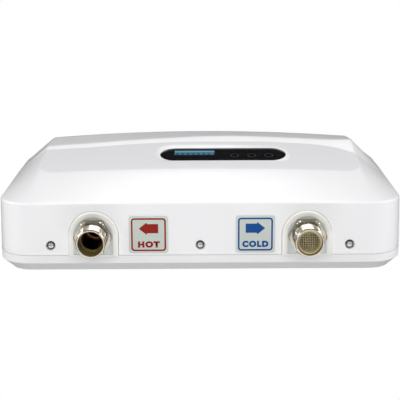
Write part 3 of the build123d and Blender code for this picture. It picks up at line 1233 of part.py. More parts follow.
def make_terminal_block():
    """Terminal block with a screw well and a wire tunnel for each pole, and barriers between."""
    top = PLATE_FLOOR + TERMINAL_DEPTH
    body = block_at(TERMINAL_X, PLATE_FLOOR, TERMINAL_UP, (TERMINAL_LENGTH, TERMINAL_DEPTH, TERMINAL_WIDTH))
    for number in range(TERMINAL_POLES):
        x = pole_x(number)
        reach = (TERMINAL_PITCH - TERMINAL_BARRIER) / 2
        body -= block(x - reach, x + reach, top - TERMINAL_FOOT, top, TERMINAL_LOW, TERMINAL_LOW + TERMINAL_WIDTH)
        body -= rod_out(TERMINAL_CLAMP_RADIUS, x, TERMINAL_UP, top - TERMINAL_DEPTH / 2, top)
    return body


def make_terminal_screws():
    """Clamping screws in the wells of the terminal block."""
    seat = PLATE_FLOOR + TERMINAL_DEPTH / 2
    screws = []
    for number in range(TERMINAL_POLES):
        x = pole_x(number)
        screw = rod_out(TERMINAL_CLAMP_RADIUS - FIT_GAP, x, TERMINAL_UP, seat, seat + TERMINAL_FOOT)
        screw += rod_out(TERMINAL_SCREW_RADIUS, x, TERMINAL_UP, seat + TERMINAL_FOOT, seat + 2 * TERMINAL_FOOT)
        slot = block(x - BODY_WIDTH, x + BODY_WIDTH, seat + TERMINAL_FOOT * 3 / 2, seat + 2 * TERMINAL_FOOT,
                     TERMINAL_UP - TAG_THICKNESS / 2, TERMINAL_UP + TAG_THICKNESS / 2)
        screws.append(screw - slot)
    return together(screws)


def make_cable_grommet():
    """Rubber grommet in the cable hole of the back plate."""
    body = rod_out(GROMMET_RADIUS - FIT_GAP, GROMMET_X, TERMINAL_UP, FIT_GAP, PLATE_FLOOR)
    body += rod_out(GROMMET_RADIUS + GROMMET_LIP, GROMMET_X, TERMINAL_UP, PLATE_FLOOR, PLATE_FLOOR + GROMMET_GROOVE)
    return body - rod_out(GROMMET_BORE, GROMMET_X, TERMINAL_UP, 0, PLATE_FLOOR + GROMMET_GROOVE)


CLAMP_SEAT = PLATE_FLOOR + CABLE_CLAMP_POST


def cable_clamp_places():
    """Heights of the two cable clamp screws."""
    return [TERMINAL_UP + side * CABLE_CLAMP_SCREW_SPACING / 2 for side in (-1, 1)]


def make_cable_clamp():
    """Bar across the two posts, hollowed over the cable."""
    bar = block(CABLE_CLAMP_X - CABLE_CLAMP_WIDTH / 2, CABLE_CLAMP_X + CABLE_CLAMP_WIDTH / 2, CLAMP_SEAT,
                CLAMP_SEAT + CABLE_CLAMP_THICKNESS, TERMINAL_UP - CABLE_CLAMP_LENGTH / 2,
                TERMINAL_UP + CABLE_CLAMP_LENGTH / 2)
    bar -= rod_across(GROMMET_BORE, CLAMP_SEAT - GROMMET_LIP, TERMINAL_UP, -BODY_WIDTH, BODY_WIDTH)
    for up in cable_clamp_places():
        bar -= rod_out(BOARD_SCREW_RADIUS, CABLE_CLAMP_X, up, CLAMP_SEAT, CLAMP_SEAT + CABLE_CLAMP_THICKNESS)
    return bar


def make_cable_clamp_screws():
    """Two screws of the cable clamp."""
    seat = CLAMP_SEAT + CABLE_CLAMP_THICKNESS
    screws = []
    for up in cable_clamp_places():
        head = rod_out(BOARD_SCREW_HEAD, CABLE_CLAMP_X, up, seat, seat + BOARD_SCREW_HEAD_THICKNESS)
        screws.append(head + rod_out(BOARD_SCREW_RADIUS, CABLE_CLAMP_X, up, PLATE_FLOOR, seat))
    return together(screws)


def make_earth_nut():
    """Nut on the earth stud of the tank."""
    low = TANK_UP + TANK_RADIUS + TAG_THICKNESS
    nut = hex_up(EARTH_NUT_FLATS, EARTH_X, PIPE_OUT, low, low + EARTH_NUT_THICKNESS)
    return nut - rod_up(EARTH_STUD_RADIUS, EARTH_X, PIPE_OUT, 0, BODY_HEIGHT)


# %% Leads clipped inside the casing
LEAD_SPACING = 3.2
LEAD_STANDOFF = 6.0
LEAD_ARC_SHARE = 0.45
TANK_TOP = TANK_UP + TANK_RADIUS
TANK_LOW = TANK_UP - TANK_RADIUS
TANK_FRONT = PIPE_OUT + TANK_RADIUS
CONNECTOR_TOP = BOARD_TOP + CONNECTOR_SIZE[1]
CONNECTOR_EDGE = CONNECTOR_UP + CONNECTOR_SIZE[2] / 2
LEG_END_UP = TANK_UP - TRIAC_HEIGHT / 2 - TRIAC_LEG_LENGTH
LEG_OUT = CUTOUT_FLANGE_TOP + TRIAC_THICKNESS / 2 + TRIAC_LEG / 2
PIN_END_X = TANK_HALF_LENGTH + TANK_CAP_THICKNESS + ELEMENT_BUSH_LENGTH + ELEMENT_PIN_LENGTH
PROBE_END = PIPE_OUT + PIPE_RADIUS + PROBE_LENGTH


def lead_path(points):
    """Runs joined by arcs as large as the shorter run beside each corner allows."""
    corners = [Vector(x, -out, up - HALF_HEIGHT) for x, out, up in points]
    radii = []
    for before, here, after in zip(corners, corners[1:], corners[2:]):
        half_turn = math.radians((here - before).get_angle(after - here)) / 2
        radii.append(LEAD_ARC_SHARE * min((here - before).length, (after - here).length) / math.tan(half_turn))
    print("lead arcs", [round(radius, 1) for radius in radii])
    return FilletPolyline(*corners, radius=radii)


def lead(points, radius):
    """Round insulated lead along a route of (x, out, up) points."""
    path = lead_path(points)
    return sweep(Plane(origin=path @ 0, z_dir=path % 0) * Circle(radius), path=path)


def make_mains_leads():
    """Live and neutral leads from the terminal block over the tank to the power board."""
    leads = []
    for number, side in ((0, -1), (1, 1)):
        start = pole_x(number)
        lane = CUTOUT_X - CUTOUT_FLANGE_X / 2 - 2 * LEAD_SPACING + side * LEAD_SPACING / 2
        end = connector_x(CONNECTOR_SHARES[0]) + side * LEAD_SPACING / 2
        terminal_out = PLATE_FLOOR + TERMINAL_DEPTH / 2
        rise = side * LEAD_SPACING / 2
        leads.append(lead([
            (start, terminal_out, TERMINAL_LOW),
            (start, terminal_out, TERMINAL_LOW - LEAD_STANDOFF + rise),
            (lane, PIPE_OUT, TANK_TOP + LEAD_STANDOFF + rise),
            (lane, TANK_FRONT + LEAD_STANDOFF, TANK_UP + TANK_RADIUS * 3 / 4),
            (lane, TANK_FRONT + LEAD_STANDOFF, TANK_UP - TANK_RADIUS * 3 / 4),
            (lane, TANK_FRONT - LEAD_STANDOFF, TANK_LOW - LEAD_STANDOFF),
            ((lane + end) / 2, PIPE_OUT, CONNECTOR_EDGE + LEAD_STANDOFF * 3 / 2),
            (end, CONNECTOR_TOP - CONNECTOR_SIZE[1] / 2, CONNECTOR_EDGE + LEAD_STANDOFF),
            (end, CONNECTOR_TOP - CONNECTOR_SIZE[1] / 2, CONNECTOR_EDGE),
        ], LEAD_RADIUS))
    return together(leads)


def make_element_leads():
    """Leads from the power switches to the front pins of the elements."""
    leads = []
    pin_out = PIPE_OUT + ELEMENT_SPREAD
    lane = TANK_FRONT + LEAD_RADIUS
    turn = PIN_END_X + LEAD_STANDOFF
    for x, lift in zip(reversed(triac_places()), (-1, 1)):
        leg = x + TRIAC_LEG_PITCH
        pin_up = TANK_UP + lift * ELEMENT_BEND_RADIUS
        low = LEG_END_UP - LEAD_STANDOFF + lift * LEAD_SPACING / 2
        leads.append(lead([
            (leg, LEG_OUT, LEG_END_UP),
            (leg, LEG_OUT, LEG_END_UP - LEAD_STANDOFF / 2),
            (leg + LEAD_STANDOFF / 2, lane, low),
            (leg + 2 * TRIAC_PITCH, lane, low - LEAD_RADIUS),
            (TANK_HALF_LENGTH, lane + LEAD_STANDOFF / 2, (low + pin_up) / 2),
            (turn, lane - LEAD_STANDOFF / 2, pin_up - LEAD_RADIUS),
            (turn + LEAD_RADIUS, (lane + pin_out) / 2, pin_up),
            (turn - LEAD_RADIUS, pin_out, pin_up),
            (PIN_END_X, pin_out, pin_up),
        ], LEAD_RADIUS))
    return together(leads)


def make_sensor_leads():
    """Thin leads of the two probes and of the turbine's pick-up."""
    front = PROBE_END + LEAD_STANDOFF
    routes = []
    for side, share in ((-1, CONNECTOR_SHARES[0]), (1, CONNECTOR_SHARES[2])):
        end = connector_x(share) + LEAD_SPACING / 2
        routes.append([
            (side * PIPE_X, PROBE_END, PROBE_UP),
            (side * PIPE_X, front, PROBE_UP),
            (side * (PIPE_X - SENSOR_RADIUS * 3 / 4), front, PROBE_UP - LEAD_STANDOFF),
            (side * (PIPE_X + abs(end)) / 2, front - SENSOR_RADIUS, CONNECTOR_UP),
            (end, CONNECTOR_TOP + LEAD_STANDOFF, CONNECTOR_UP + LEAD_RADIUS),
            (end, CONNECTOR_TOP, CONNECTOR_UP + LEAD_RADIUS),
        ])
    end = connector_x(CONNECTOR_SHARES[2]) - LEAD_SPACING
    side_x = PIPE_X - HALL_WIDTH / 2
    hall_out = PIPE_OUT + SENSOR_RADIUS + HALL_DEPTH / 2
    routes.append([
        (side_x, hall_out, TURBINE_UP),
        (side_x - LEAD_STANDOFF, hall_out, TURBINE_UP),
        ((side_x + end) / 2, hall_out - LEAD_RADIUS, CONNECTOR_UP - LEAD_STANDOFF),
        (end, CONNECTOR_TOP + LEAD_STANDOFF, CONNECTOR_UP - LEAD_RADIUS),
        (end, CONNECTOR_TOP, CONNECTOR_UP - LEAD_RADIUS),
    ])
    return together([lead(route, SENSOR_LEAD_RADIUS) for route in routes])


def make_earth_lead():
    """Earth lead from the third pole to the stud on the tank."""
    start = pole_x(TERMINAL_POLES - 1)
    nut_side = EARTH_X - EARTH_NUT_FLATS / math.sqrt(3) - FIT_GAP
    nut_up = TANK_TOP + TAG_THICKNESS + EARTH_NUT_THICKNESS / 2
    terminal_out = PLATE_FLOOR + TERMINAL_DEPTH / 2
    return lead([
        (start, terminal_out, TERMINAL_LOW),
        (start, terminal_out, TERMINAL_LOW - LEAD_STANDOFF),
        ((start + nut_side) / 2, PIPE_OUT, nut_up + LEAD_RADIUS),
        (nut_side, PIPE_OUT, nut_up),
    ], LEAD_RADIUS)


def make_display_ribbon():
    """Flat ribbon from the display board's lower edge to the middle connector."""
    x = connector_x(CONNECTOR_SHARES[1])
    tilt = math.radians(CONSOLE_ANGLE)
    depth = DISPLAY_FRONT + DISPLAY_BOARD_THICKNESS / 2
    half = (WINDOW_HEIGHT + DISPLAY_BOARD_MARGIN) / 2
    edge_out = console_out(WINDOW_UP) - crown(WINDOW_X) - depth * math.cos(tilt) - half * math.sin(tilt)
    edge_up = WINDOW_UP + depth * math.sin(tilt) - half * math.cos(tilt)
    path = lead_path([
        (x, edge_out, edge_up),
        (x, edge_out - LEAD_STANDOFF * math.sin(tilt), edge_up - LEAD_STANDOFF * math.cos(tilt)),
        (x, (edge_out + CONNECTOR_TOP) / 2, CONNECTOR_UP - LEAD_RADIUS),
        (x, CONNECTOR_TOP + LEAD_STANDOFF, CONNECTOR_UP),
        (x, CONNECTOR_TOP, CONNECTOR_UP),
    ])
    start = Plane(origin=path @ 0, x_dir=(1, 0, 0), z_dir=path % 0)
    return sweep(start * Rectangle(RIBBON_WIDTH, RIBBON_THICKNESS), path=path)


# %% Every piece by name
PIECES = {
    "back_plate": make_back_plate,
    "front_cover": make_cover,
    "cover_seal": make_cover_seal,
    "cover_screws": make_cover_screws,
    "cover_nuts": make_cover_nuts,
    "display_window": make_window,
    "window_seal": make_window_seal,
    "lcd_lens": make_lcd_lens,
    "lcd_module": make_lcd_module,
    "display_board": make_display_board,
    "display_bracket": make_display_bracket,
    "touch_springs": make_touch_springs,
    "outlet_pad": lambda: make_pad(-PIPE_X),
    "inlet_pad": lambda: make_pad(PIPE_X),
    "outlet_label": lambda: make_label(OUTLET_LABEL_X),
    "inlet_label": lambda: make_label(INLET_LABEL_X),
    "outlet_stub": lambda: make_stub(-PIPE_X),
    "inlet_stub": lambda: make_stub(PIPE_X),
    "stub_seals": make_stub_seals,
    "filter_ring": make_filter_ring,
    "filter_mesh": make_filter_mesh,
    "outlet_pipe": make_outlet_pipe,
    "inlet_pipe": make_inlet_pipe,
    "outlet_probe": lambda: make_probe(-PIPE_X),
    "inlet_probe": lambda: make_probe(PIPE_X),
    "flow_sensor_body": make_sensor_body,
    "bearing_spiders": make_spiders,
    "turbine": make_turbine,
    "turbine_axle": make_axle,
    "hall_sensor": make_hall_sensor,
    "tank_shell": make_tank_shell,
    "tank_cap_left": lambda: make_tank_cap(-1),
    "tank_cap_right": lambda: make_tank_cap(1),
    "heating_elements": make_elements,
    "element_bushes": make_element_bushes,
    "element_pins": make_element_pins,
    "tank_straps": make_straps,
    "pipe_clamps": make_pipe_clamps,
    "clamp_screws": lambda: together([make_strap_screws(), make_pipe_clamp_screws()]),
    "thermal_cutout": make_cutout,
    "reset_button": make_reset_button,
    "triac_plate": make_triac_plate,
    "triacs": make_triacs,
    "triac_screws": make_triac_screws,
    "power_board": make_power_board,
    "board_screws": lambda: together([make_board_screws(), make_display_screws(), make_cable_clamp_screws()]),
    "power_relay": lambda: block_at(RELAY_X, BOARD_TOP, BOARD_LOW_ROW + RELAY_SIZE[2] / 2, RELAY_SIZE),
    "supply_transformer": make_transformer,
    "filter_capacitors": make_capacitors,
    "board_connectors": make_connectors,
    "terminal_block": make_terminal_block,
    "terminal_screws": make_terminal_screws,
    "cable_grommet": make_cable_grommet,
    "cable_clamp": make_cable_clamp,
    "earth_nut": make_earth_nut,
    "mains_leads": make_mains_leads,
    "element_leads": make_element_leads,
    "sensor_leads": make_sensor_leads,
    "earth_lead": make_earth_lead,
    "display_ribbon": make_display_ribbon,
}

os.makedirs("parts", exist_ok=True)
for name, make in PIECES.items():
    save(make(), name)
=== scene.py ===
# %% [markdown]
# # A shallow wall-hung water heater
#
# The real thing is a white moulded cover on a white back plate, with two
# nickel-plated pipe stubs under it. It hangs with the stubs down. The camera
# looks up at it from below and in front, so its bottom face, the long slope
# above it and the black window are what shows.
#
# The solids of the frame hold every inner piece. This script gives each piece
# its finish, and remakes the pieces that show most as fine numpy surfaces.

# %% Load the frame
import json
import math

import bmesh
import bpy
import numpy as np
from mathutils import Matrix, Vector

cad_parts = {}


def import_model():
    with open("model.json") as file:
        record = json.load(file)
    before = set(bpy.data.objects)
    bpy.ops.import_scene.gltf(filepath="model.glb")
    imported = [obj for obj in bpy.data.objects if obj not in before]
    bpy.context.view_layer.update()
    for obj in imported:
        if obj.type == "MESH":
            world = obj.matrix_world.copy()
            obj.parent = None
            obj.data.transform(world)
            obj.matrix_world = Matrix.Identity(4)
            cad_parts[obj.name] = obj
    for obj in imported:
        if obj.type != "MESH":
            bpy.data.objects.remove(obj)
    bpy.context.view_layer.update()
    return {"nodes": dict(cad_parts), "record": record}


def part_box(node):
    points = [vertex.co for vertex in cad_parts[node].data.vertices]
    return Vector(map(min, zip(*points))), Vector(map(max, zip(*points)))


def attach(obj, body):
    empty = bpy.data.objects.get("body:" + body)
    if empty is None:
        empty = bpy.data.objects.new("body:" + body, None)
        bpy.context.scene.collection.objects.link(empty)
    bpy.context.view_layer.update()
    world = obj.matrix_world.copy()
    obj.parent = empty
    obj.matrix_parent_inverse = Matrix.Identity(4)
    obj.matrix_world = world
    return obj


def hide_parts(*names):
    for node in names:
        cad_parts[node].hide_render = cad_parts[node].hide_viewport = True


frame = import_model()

MM = 0.001

# %% [markdown]
# ## Sizes
#
# A place is given as x to the right, `up` above the bottom face and `out` away
# from the wall, all in millimetres, because that is how the casing is dimensioned.
# One helper turns them into the frame's metres. Everything that the frame can
# tell is read from it, so nothing has to be fitted by eye.

# %% Sizes read from the frame
cover_low, cover_high = (np.array(corner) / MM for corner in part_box("front_cover"))
plate_low, plate_high = (np.array(corner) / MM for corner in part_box("back_plate"))
HALF_WIDTH = (plate_high[0] - plate_low[0]) / 2
HALF_HEIGHT = (plate_high[2] - plate_low[2]) / 2
BODY_HEIGHT = 2 * HALF_HEIGHT
COVER_FOOT_OUT = -cover_high[1]
COVER_TOP_OUT = -cover_low[1]
CORNER_RADIUS = 24.0
DRAFT = math.tan(math.radians(1.5))
COVER_WALL = 2.6
SHOULDER_OUT = 50.6
PARTING_OUT = 12.8
print("casing", round(2 * HALF_WIDTH, 1), "by", round(BODY_HEIGHT, 1), "mm, cover reaches",
      round(COVER_TOP_OUT, 1), "mm out")


def world(x, out, up):
    """Points of the frame, in metres, from arrays of x, out and up in millimetres."""
    x, out, up = np.broadcast_arrays(x, out, up)
    return np.stack([x, -out, up - HALF_HEIGHT], axis=-1) * MM


# %% [markdown]
# ## Helpers for numpy surfaces
#
# A surface is a grid of points over two parameters. Neighbouring points make
# quads, and a parameter that runs round closes on itself. All indices are
# worked out as whole arrays.

# %% Grid of quads
def grid_quads(rows, columns, close_rows=False, close_columns=False):
    """Corner numbers of the quads between neighbouring points of a rows by columns grid."""
    r = np.arange(rows if close_rows else rows - 1)
    c = np.arange(columns if close_columns else columns - 1)
    r, c = np.meshgrid(r, c, indexing="ij")
    r_next, c_next = (r + 1) % rows, (c + 1) % columns
    here, below = r * columns, r_next * columns
    quads = [here + c, here + c_next, below + c_next, below + c]
    return np.stack(quads, axis=-1).reshape(-1, 4)


# %% Mesh object
def add_object(name, data):
    """New object of the scene that shows a mesh, a text, a lamp or a camera."""
    made = bpy.data.objects.new(name, data)
    bpy.context.scene.collection.objects.link(made)
    return made


def evaluated_mesh(source):
    """New mesh of an object as its modifiers, or the settings of its text, shape it."""
    bpy.context.view_layer.update()
    graph = bpy.context.evaluated_depsgraph_get()
    return bpy.data.meshes.new_from_object(source.evaluated_get(graph))


def make_piece(name, points, faces, sharp_degrees=32.0):
    """Mesh object from points in metres and faces: welded, normals outwards, shaded smooth."""
    mesh = bpy.data.meshes.new(name)
    mesh.from_pydata(points.reshape(-1, 3).tolist(), [], faces.tolist())
    tidy_mesh(mesh, sharp_degrees)
    return add_object(name, mesh)


def tidy_mesh(mesh, sharp_degrees):
    """Welds doubles, points the faces outwards and marks the edges that stay crisp."""
    work = bmesh.new()
    work.from_mesh(mesh)
    bmesh.ops.remove_doubles(work, verts=work.verts, dist=0.002 * MM)
    bmesh.ops.dissolve_degenerate(work, edges=work.edges, dist=0.0005 * MM)
    bmesh.ops.recalc_face_normals(work, faces=work.faces)
    work.to_mesh(mesh)
    work.free()
    mesh.shade_smooth()
    mesh.set_sharp_from_angle(angle=math.radians(sharp_degrees))


def round_axis(centre, radius, turn, up):
    """Points at a radius and a turn round the upright axis through centre = (x, out)."""
    return world(centre[0] + radius * np.cos(turn), centre[1] + radius * np.sin(turn), up)


def full_turn(count):
    """Angles once round, without the last, which is the first again."""
    return np.linspace(0, 2 * np.pi, count, endpoint=False)


def make_rings(name, rings, sharp_degrees=32.0, closed=True):
    """Piece through rings of points: the last joins the first, or else both ends are points."""
    rings = np.array(rings)
    faces = grid_quads(len(rings), rings.shape[1], closed, True)
    return make_piece(name, rings, faces, sharp_degrees)


def revolve(name, profile, centre, count, closed=True):
    """A (radius, up) profile turned about an upright axis."""
    radius, up = np.array(profile, float).T[..., None]
    rings = round_axis(centre, radius, full_turn(count), up)
    return make_rings(name, rings, closed=closed)


# %% Cut one piece out of another
def cut_away(piece, cutters, sharp_degrees):
    """Takes closed cutter pieces out of a closed piece and removes the cutters."""
    for cutter in cutters:
        change = piece.modifiers.new("cut", "BOOLEAN")
        change.operation = "DIFFERENCE"
        change.solver = "EXACT"
        change.object = cutter
    cut, old = evaluated_mesh(piece), piece.data
    piece.modifiers.clear()
    piece.data = cut
    bpy.data.meshes.remove(old)
    for cutter in cutters:
        bpy.data.objects.remove(cutter)
    tidy_mesh(piece.data, sharp_degrees)


# %% Mark points and faces
def read_vectors(elements, key):
    """Array of the three numbers that each point or face of a mesh holds under a key."""
    values = np.empty(3 * len(elements))
    elements.foreach_get(key, values)
    return values.reshape(-1, 3)


def store(piece, name, domain, values):
    """Stores one number per point or face of a piece, for its material to read."""
    layer = piece.data.attributes.new(name, "FLOAT", domain)
    layer.data.foreach_set("value", values.astype(np.float32))


def paint(piece, name, values):
    """Marks the points of a piece by a function of their x, out and up in millimetres."""
    x, y, z = read_vectors(piece.data.vertices, "co").T / MM
    store(piece, name, "POINT", values(x, -y, z + HALF_HEIGHT))
    return piece


# %% [markdown]
# ## Helpers for materials
#
# Every finish starts from a real material. Colours are sRGB hex values as a
# paint chart gives them, and one function makes them linear. Patterns read
# Object coordinates, which are metres on the real object, so a pattern's scale
# is one over its size in metres.

# %% Colours and nodes
def colour(hex_code):
    """Linear red, green, blue and full alpha from an sRGB hex colour."""
    value = np.array([int(hex_code[i:i + 2], 16) for i in (1, 3, 5)]) / 255
    linear = np.where(value <= 0.04045, value / 12.92, ((value + 0.055) / 1.055) ** 2.4)
    return (*linear.tolist(), 1.0)


def feed(tree, socket, value):
    """Sets a socket to a number or a hex colour, or links another node's output to it."""
    if isinstance(value, bpy.types.NodeSocket):
        tree.links.new(value, socket)
    else:
        socket.default_value = colour(value) if isinstance(value, str) else value


def add_node(tree, kind, inputs=(), **settings):
    """Adds a node, sets its properties by name and feeds its inputs."""
    made = tree.nodes.new("ShaderNode" + kind)
    for key, value in settings.items():
        setattr(made, key, value)
    for socket, value in dict(inputs).items():
        feed(tree, made.inputs[socket], value)
    return made


def add_math(tree, operation, first, second=0.0):
    """Result of one operation on two values."""
    return add_node(tree, "Math", {0: first, 1: second}, operation=operation).outputs[0]


def add_range(tree, value, low, high, to_low=0.0, to_high=1.0):
    """A value moved from low..high to to_low..to_high on a straight line, held at both ends."""
    inputs = {0: value, 1: low, 2: high, 3: to_low, 4: to_high}
    return add_node(tree, "MapRange", inputs).outputs[0]


def add_mix(tree, factor, first, second):
    """Colour between two colours, each a hex code or another node's output."""
    inputs = {0: factor, 6: first, 7: second}
    return add_node(tree, "Mix", inputs, data_type="RGBA").outputs[2]


def set_shader(material, inputs):
    """Feeds inputs of a material's Principled shader by name."""
    shader = material.node_tree.nodes["Principled BSDF"]
    for name, value in inputs.items():
        feed(material.node_tree, shader.inputs[name], value)


def base_colour(material):
    """Output that feeds the base colour of a material."""
    shader = material.node_tree.nodes["Principled BSDF"]
    return shader.inputs["Base Color"].links[0].from_socket


def start_material(name, base, roughness, metallic=0.0):
    """New material with plain values: itself, its node tree and its coordinates."""
    material = bpy.data.materials.new(name)
    material.use_nodes = True
    set_shader(material, {"Base Color": base, "Roughness": roughness, "Metallic": metallic})
    tree = material.node_tree
    return material, tree, add_node(tree, "TexCoord").outputs["Object"]


# %% Moulded plastic and drawn metal
def add_noise(tree, place, size_mm, detail):
    """Noise with lumps of a real size, from 0 to 1."""
    inputs = {"Vector": place, "Scale": 1 / (size_mm * MM), "Detail": detail}
    return add_node(tree, "TexNoise", inputs).outputs["Fac"]


def add_bump(material, height, depth_mm, strength):
    """Surface raised by a height from 0 to 1, times a real depth."""
    inputs = {"Height": height, "Distance": depth_mm * MM, "Strength": strength}
    bump = add_node(material.node_tree, "Bump", inputs)
    set_shader(material, {"Normal": bump.outputs["Normal"]})


def add_tint(material, place, size_mm, light, dark):
    """Slow drift of the base colour between two close tones."""
    drift = add_noise(material.node_tree, place, size_mm, 3.0)
    set_shader(material, {"Base Color": add_mix(material.node_tree, drift, dark, light)})


def add_mark(material, name, tone):
    """Another tone where a piece has been painted with the mark of that name."""
    tree = material.node_tree
    mark = add_node(tree, "Attribute", attribute_name=name).outputs["Fac"]
    set_shader(material, {"Base Color": add_mix(tree, mark, base_colour(material), tone)})


def moulded(name, light, dark, roughness, grain_mm=0.5, depth_mm=0.01, drift_mm=40, strength=1.0):
    """Injection-moulded plastic: even colour with a faint drift and a spark-eroded grain."""
    material, tree, place = start_material(name, light, roughness)
    add_tint(material, place, drift_mm, light, dark)
    add_bump(material, add_noise(tree, place, grain_mm, 2.0), depth_mm, strength)
    return material


def drawn_metal(name, light, dark, roughness, stretch, grain_mm=0.4, depth_mm=0.02):
    """Drawn, turned or brushed metal: fine lines, as its noise is stretched along one axis."""
    material, tree, place = start_material(name, light, roughness, metallic=1.0)
    lines = add_node(tree, "Mapping", {"Vector": place, "Scale": stretch}).outputs["Vector"]
    noise = add_noise(tree, lines, grain_mm, 3.0)
    add_bump(material, noise, depth_mm, 0.6)
    add_tint(material, place, 6, light, dark)
    wear = add_range(tree, noise, 0.0, 1.0, roughness * 0.7, roughness * 1.3)
    set_shader(material, {"Roughness": wear})
    return material


# %% [markdown]
# ## The finishes of this heater
#
# The cover is high-gloss ABS: white, with a surface so even that only a very
# shallow waviness shows in its reflections. The back plate is the same plastic
# from a plainer mould. The pads are frosted polypropylene, the window is smoked
# acrylic, the stubs are nickel-plated brass and the filter is bronze wire.

# %% Plastics, rubbers and ceramic
finishes = {}
# The gloss of the cover comes from a polished mould, which leaves only long, faint waves. The
# grain of the others is spark-eroded, and the pads' is coarse enough to frost them.
PLASTICS = {                # two tones, roughness, size and depth of the grain, size of the drift
    "white_gloss_abs": ("#f3f3f4", "#eeeef0", 0.18, 9.0, 0.012, 60, 0.5),
    "frosted_polymer": ("#f3f2ed", "#efeee8", 0.5, 0.6, 0.02, 12),
    "white_abs": ("#f0f0f1", "#e9e9eb", 0.42, 0.8, 0.006),
    "white_nylon": ("#e6e3da", "#dbd7cc", 0.5),
    "white_ceramic": ("#ece9e2", "#e0dbd0", 0.22, 1.2, 0.01),
    "white_silicone": ("#dedcd6", "#cfccc4", 0.55, 0.3, 0.01),
    "smoked_acrylic": ("#08080a", "#050506", 0.12, 6.0, 0.001),
    "black_plastic": ("#1c1c1e", "#141416", 0.5),
    "black_magnet_nylon": ("#26262a", "#1b1b1e", 0.45),
    "black_rubber": ("#191919", "#101010", 0.8, 0.4, 0.03),
    "grey_nylon": ("#8d8f92", "#7b7d80", 0.5),
    "red_plastic": ("#b3201a", "#951510", 0.35),
    "blue_capacitor": ("#1f4e9c", "#173f82", 0.35),
    "red_pvc": ("#a8281f", "#8d1d16", 0.4, 0.3, 0.01),
    "black_pvc": ("#262628", "#1b1b1c", 0.45, 0.3, 0.01),
    "green_pvc": ("#5c8f24", "#4a781a", 0.4, 0.3, 0.01),
    "grey_pvc": ("#9a9b9d", "#858688", 0.45, 1.27, 0.05),
    "laminated_core": ("#3a3a3d", "#2a2a2c", 0.45, 0.5, 0.05),
    "grey_lcd_glass": ("#566d78", "#495e68", 0.2, 2.0, 0.002),
}
for slot, values in PLASTICS.items():
    finishes[slot] = moulded(slot, *values)
set_shader(finishes["smoked_acrylic"], {"Specular IOR Level": 0.25})
# The labels are printed on one plate, which has a slot of its own for each colour of ink.
for ink_colour in ("red", "blue"):
    plate = moulded("label_plate_" + ink_colour, "#ccd3cc", "#c5cdc6", 0.45, 0.7, 0.01)
    finishes["label_" + ink_colour] = plate

# %% Metals
METALS = {                  # lighter and darker tone, roughness, stretch of the lines
    "nickel_brass": ("#aea99e", "#968f83", 0.2, (1, 1, 12), 0.4, 0.003),
    "bronze": ("#e0d6b8", "#b3a67f", 0.34, (1, 1, 1), 0.25, 0.005),
    "brass": ("#d9b56a", "#b98f45", 0.3, (1, 1, 8)),
    "stainless_steel": ("#c4c5c7", "#a9abad", 0.3, (0.4, 8, 8)),
    "zinc_steel": ("#c9cbce", "#aaadb1", 0.34, (1, 1, 1)),
    "aluminium": ("#d2d3d5", "#bcbec1", 0.38, (0.5, 8, 8)),
    "copper": ("#d08a62", "#a9623f", 0.32, (6, 6, 0.5)),
}
for slot, values in METALS.items():
    finishes[slot] = drawn_metal(slot, *values)
# The wires of the filter are tarnished.
set_shader(finishes["bronze"], {"Metallic": 0.55})

# %% Other tones where pieces are marked: tarnish and painted shade
MARKS = (                   # finish, mark and tone; the pieces further down carry the marks
    ("white_gloss_abs", "console", "#e4e4e6"),      # painted shade: the console is one tone greyer, as its flatter slope takes less light
    ("white_gloss_abs", "window_edge_shade", "#77787a"),  # painted shade on the wall of the window's opening
    ("frosted_polymer", "thin", "#d3dad9"),         # painted shade in the pads' sunk floors, which are thin, so the dark inside also shows through
    ("nickel_brass", "bare", "#857848"),            # the bore isn't plated: tarnished brass
    ("nickel_brass", "black", "#0b0906"),           # painted shade of the deep bore: black further in
    ("zinc_steel", "head_shade", "#4d4638"),            # painted shade of the wells on the rims of the screw heads
)
for slot, mark, tone in MARKS:
    add_mark(finishes[slot], mark, tone)
# Tarnish scatters light as paint does, so the bore is less of a metal.
tree = finishes["nickel_brass"].node_tree
bare = add_node(tree, "Attribute", attribute_name="bare").outputs["Fac"]
set_shader(finishes["nickel_brass"], {"Metallic": add_range(tree, bare, 0.0, 1.0, 1.0, 0.25)})

# %% Painted shade in the bore of the copper tubes
PIPE_X = 75.5               # the pipes stand this far from the middle, on both sides
PIPE_OUT = 27.5
COPPER_BORE = 6.9
BLACK_EDGE = 0.07           # the black ends within this much of the tube's wall


def paint_bore_shade(material):
    """Painted shade: the tubes are black inside, up to the bore's radius on both axes."""
    tree = material.node_tree
    place = add_node(tree, "TexCoord").outputs["Object"]
    fold = add_node(tree, "VectorMath", {0: place}, operation="ABSOLUTE").outputs[0]
    axis = (PIPE_X * MM, PIPE_OUT * MM, 0)
    for operation, other in (("SUBTRACT", axis), ("MULTIPLY", (1, 1, 0))):
        fold = add_node(tree, "VectorMath", {0: fold, 1: other}, operation=operation).outputs[0]
    radius = add_node(tree, "VectorMath", {0: fold}, operation="LENGTH").outputs["Value"]
    bore = add_range(tree, radius, COPPER_BORE * MM, (COPPER_BORE + BLACK_EDGE) * MM, 1.0, 0.0)
    bore_shade_colour = add_mix(tree, bore, base_colour(material), "#0e0906")
    set_shader(material, {"Base Color": bore_shade_colour})


paint_bore_shade(finishes["copper"])


# %% Laminate and read-out
def laminate():
    """Green solder mask over copper tracks: a brick pattern, 6 mm wide, stands for the tracks."""
    material, tree, place = start_material("green_laminate", "#1d5a2c", 0.3)
    inputs = {"Vector": place, "Scale": 1 / (6.0 * MM), "Mortar Size": 0.03,
              "Color1": "#1c5a2b", "Color2": "#1f6331", "Mortar": "#3b8a4c"}
    tracks = add_node(tree, "TexBrick", inputs)
    set_shader(material, {"Base Color": tracks.outputs["Color"]})
    return material


SEGMENT_PITCH = 4.05
SEGMENT_ROW = 0.27          # height of the row of segments, as a share of the lens


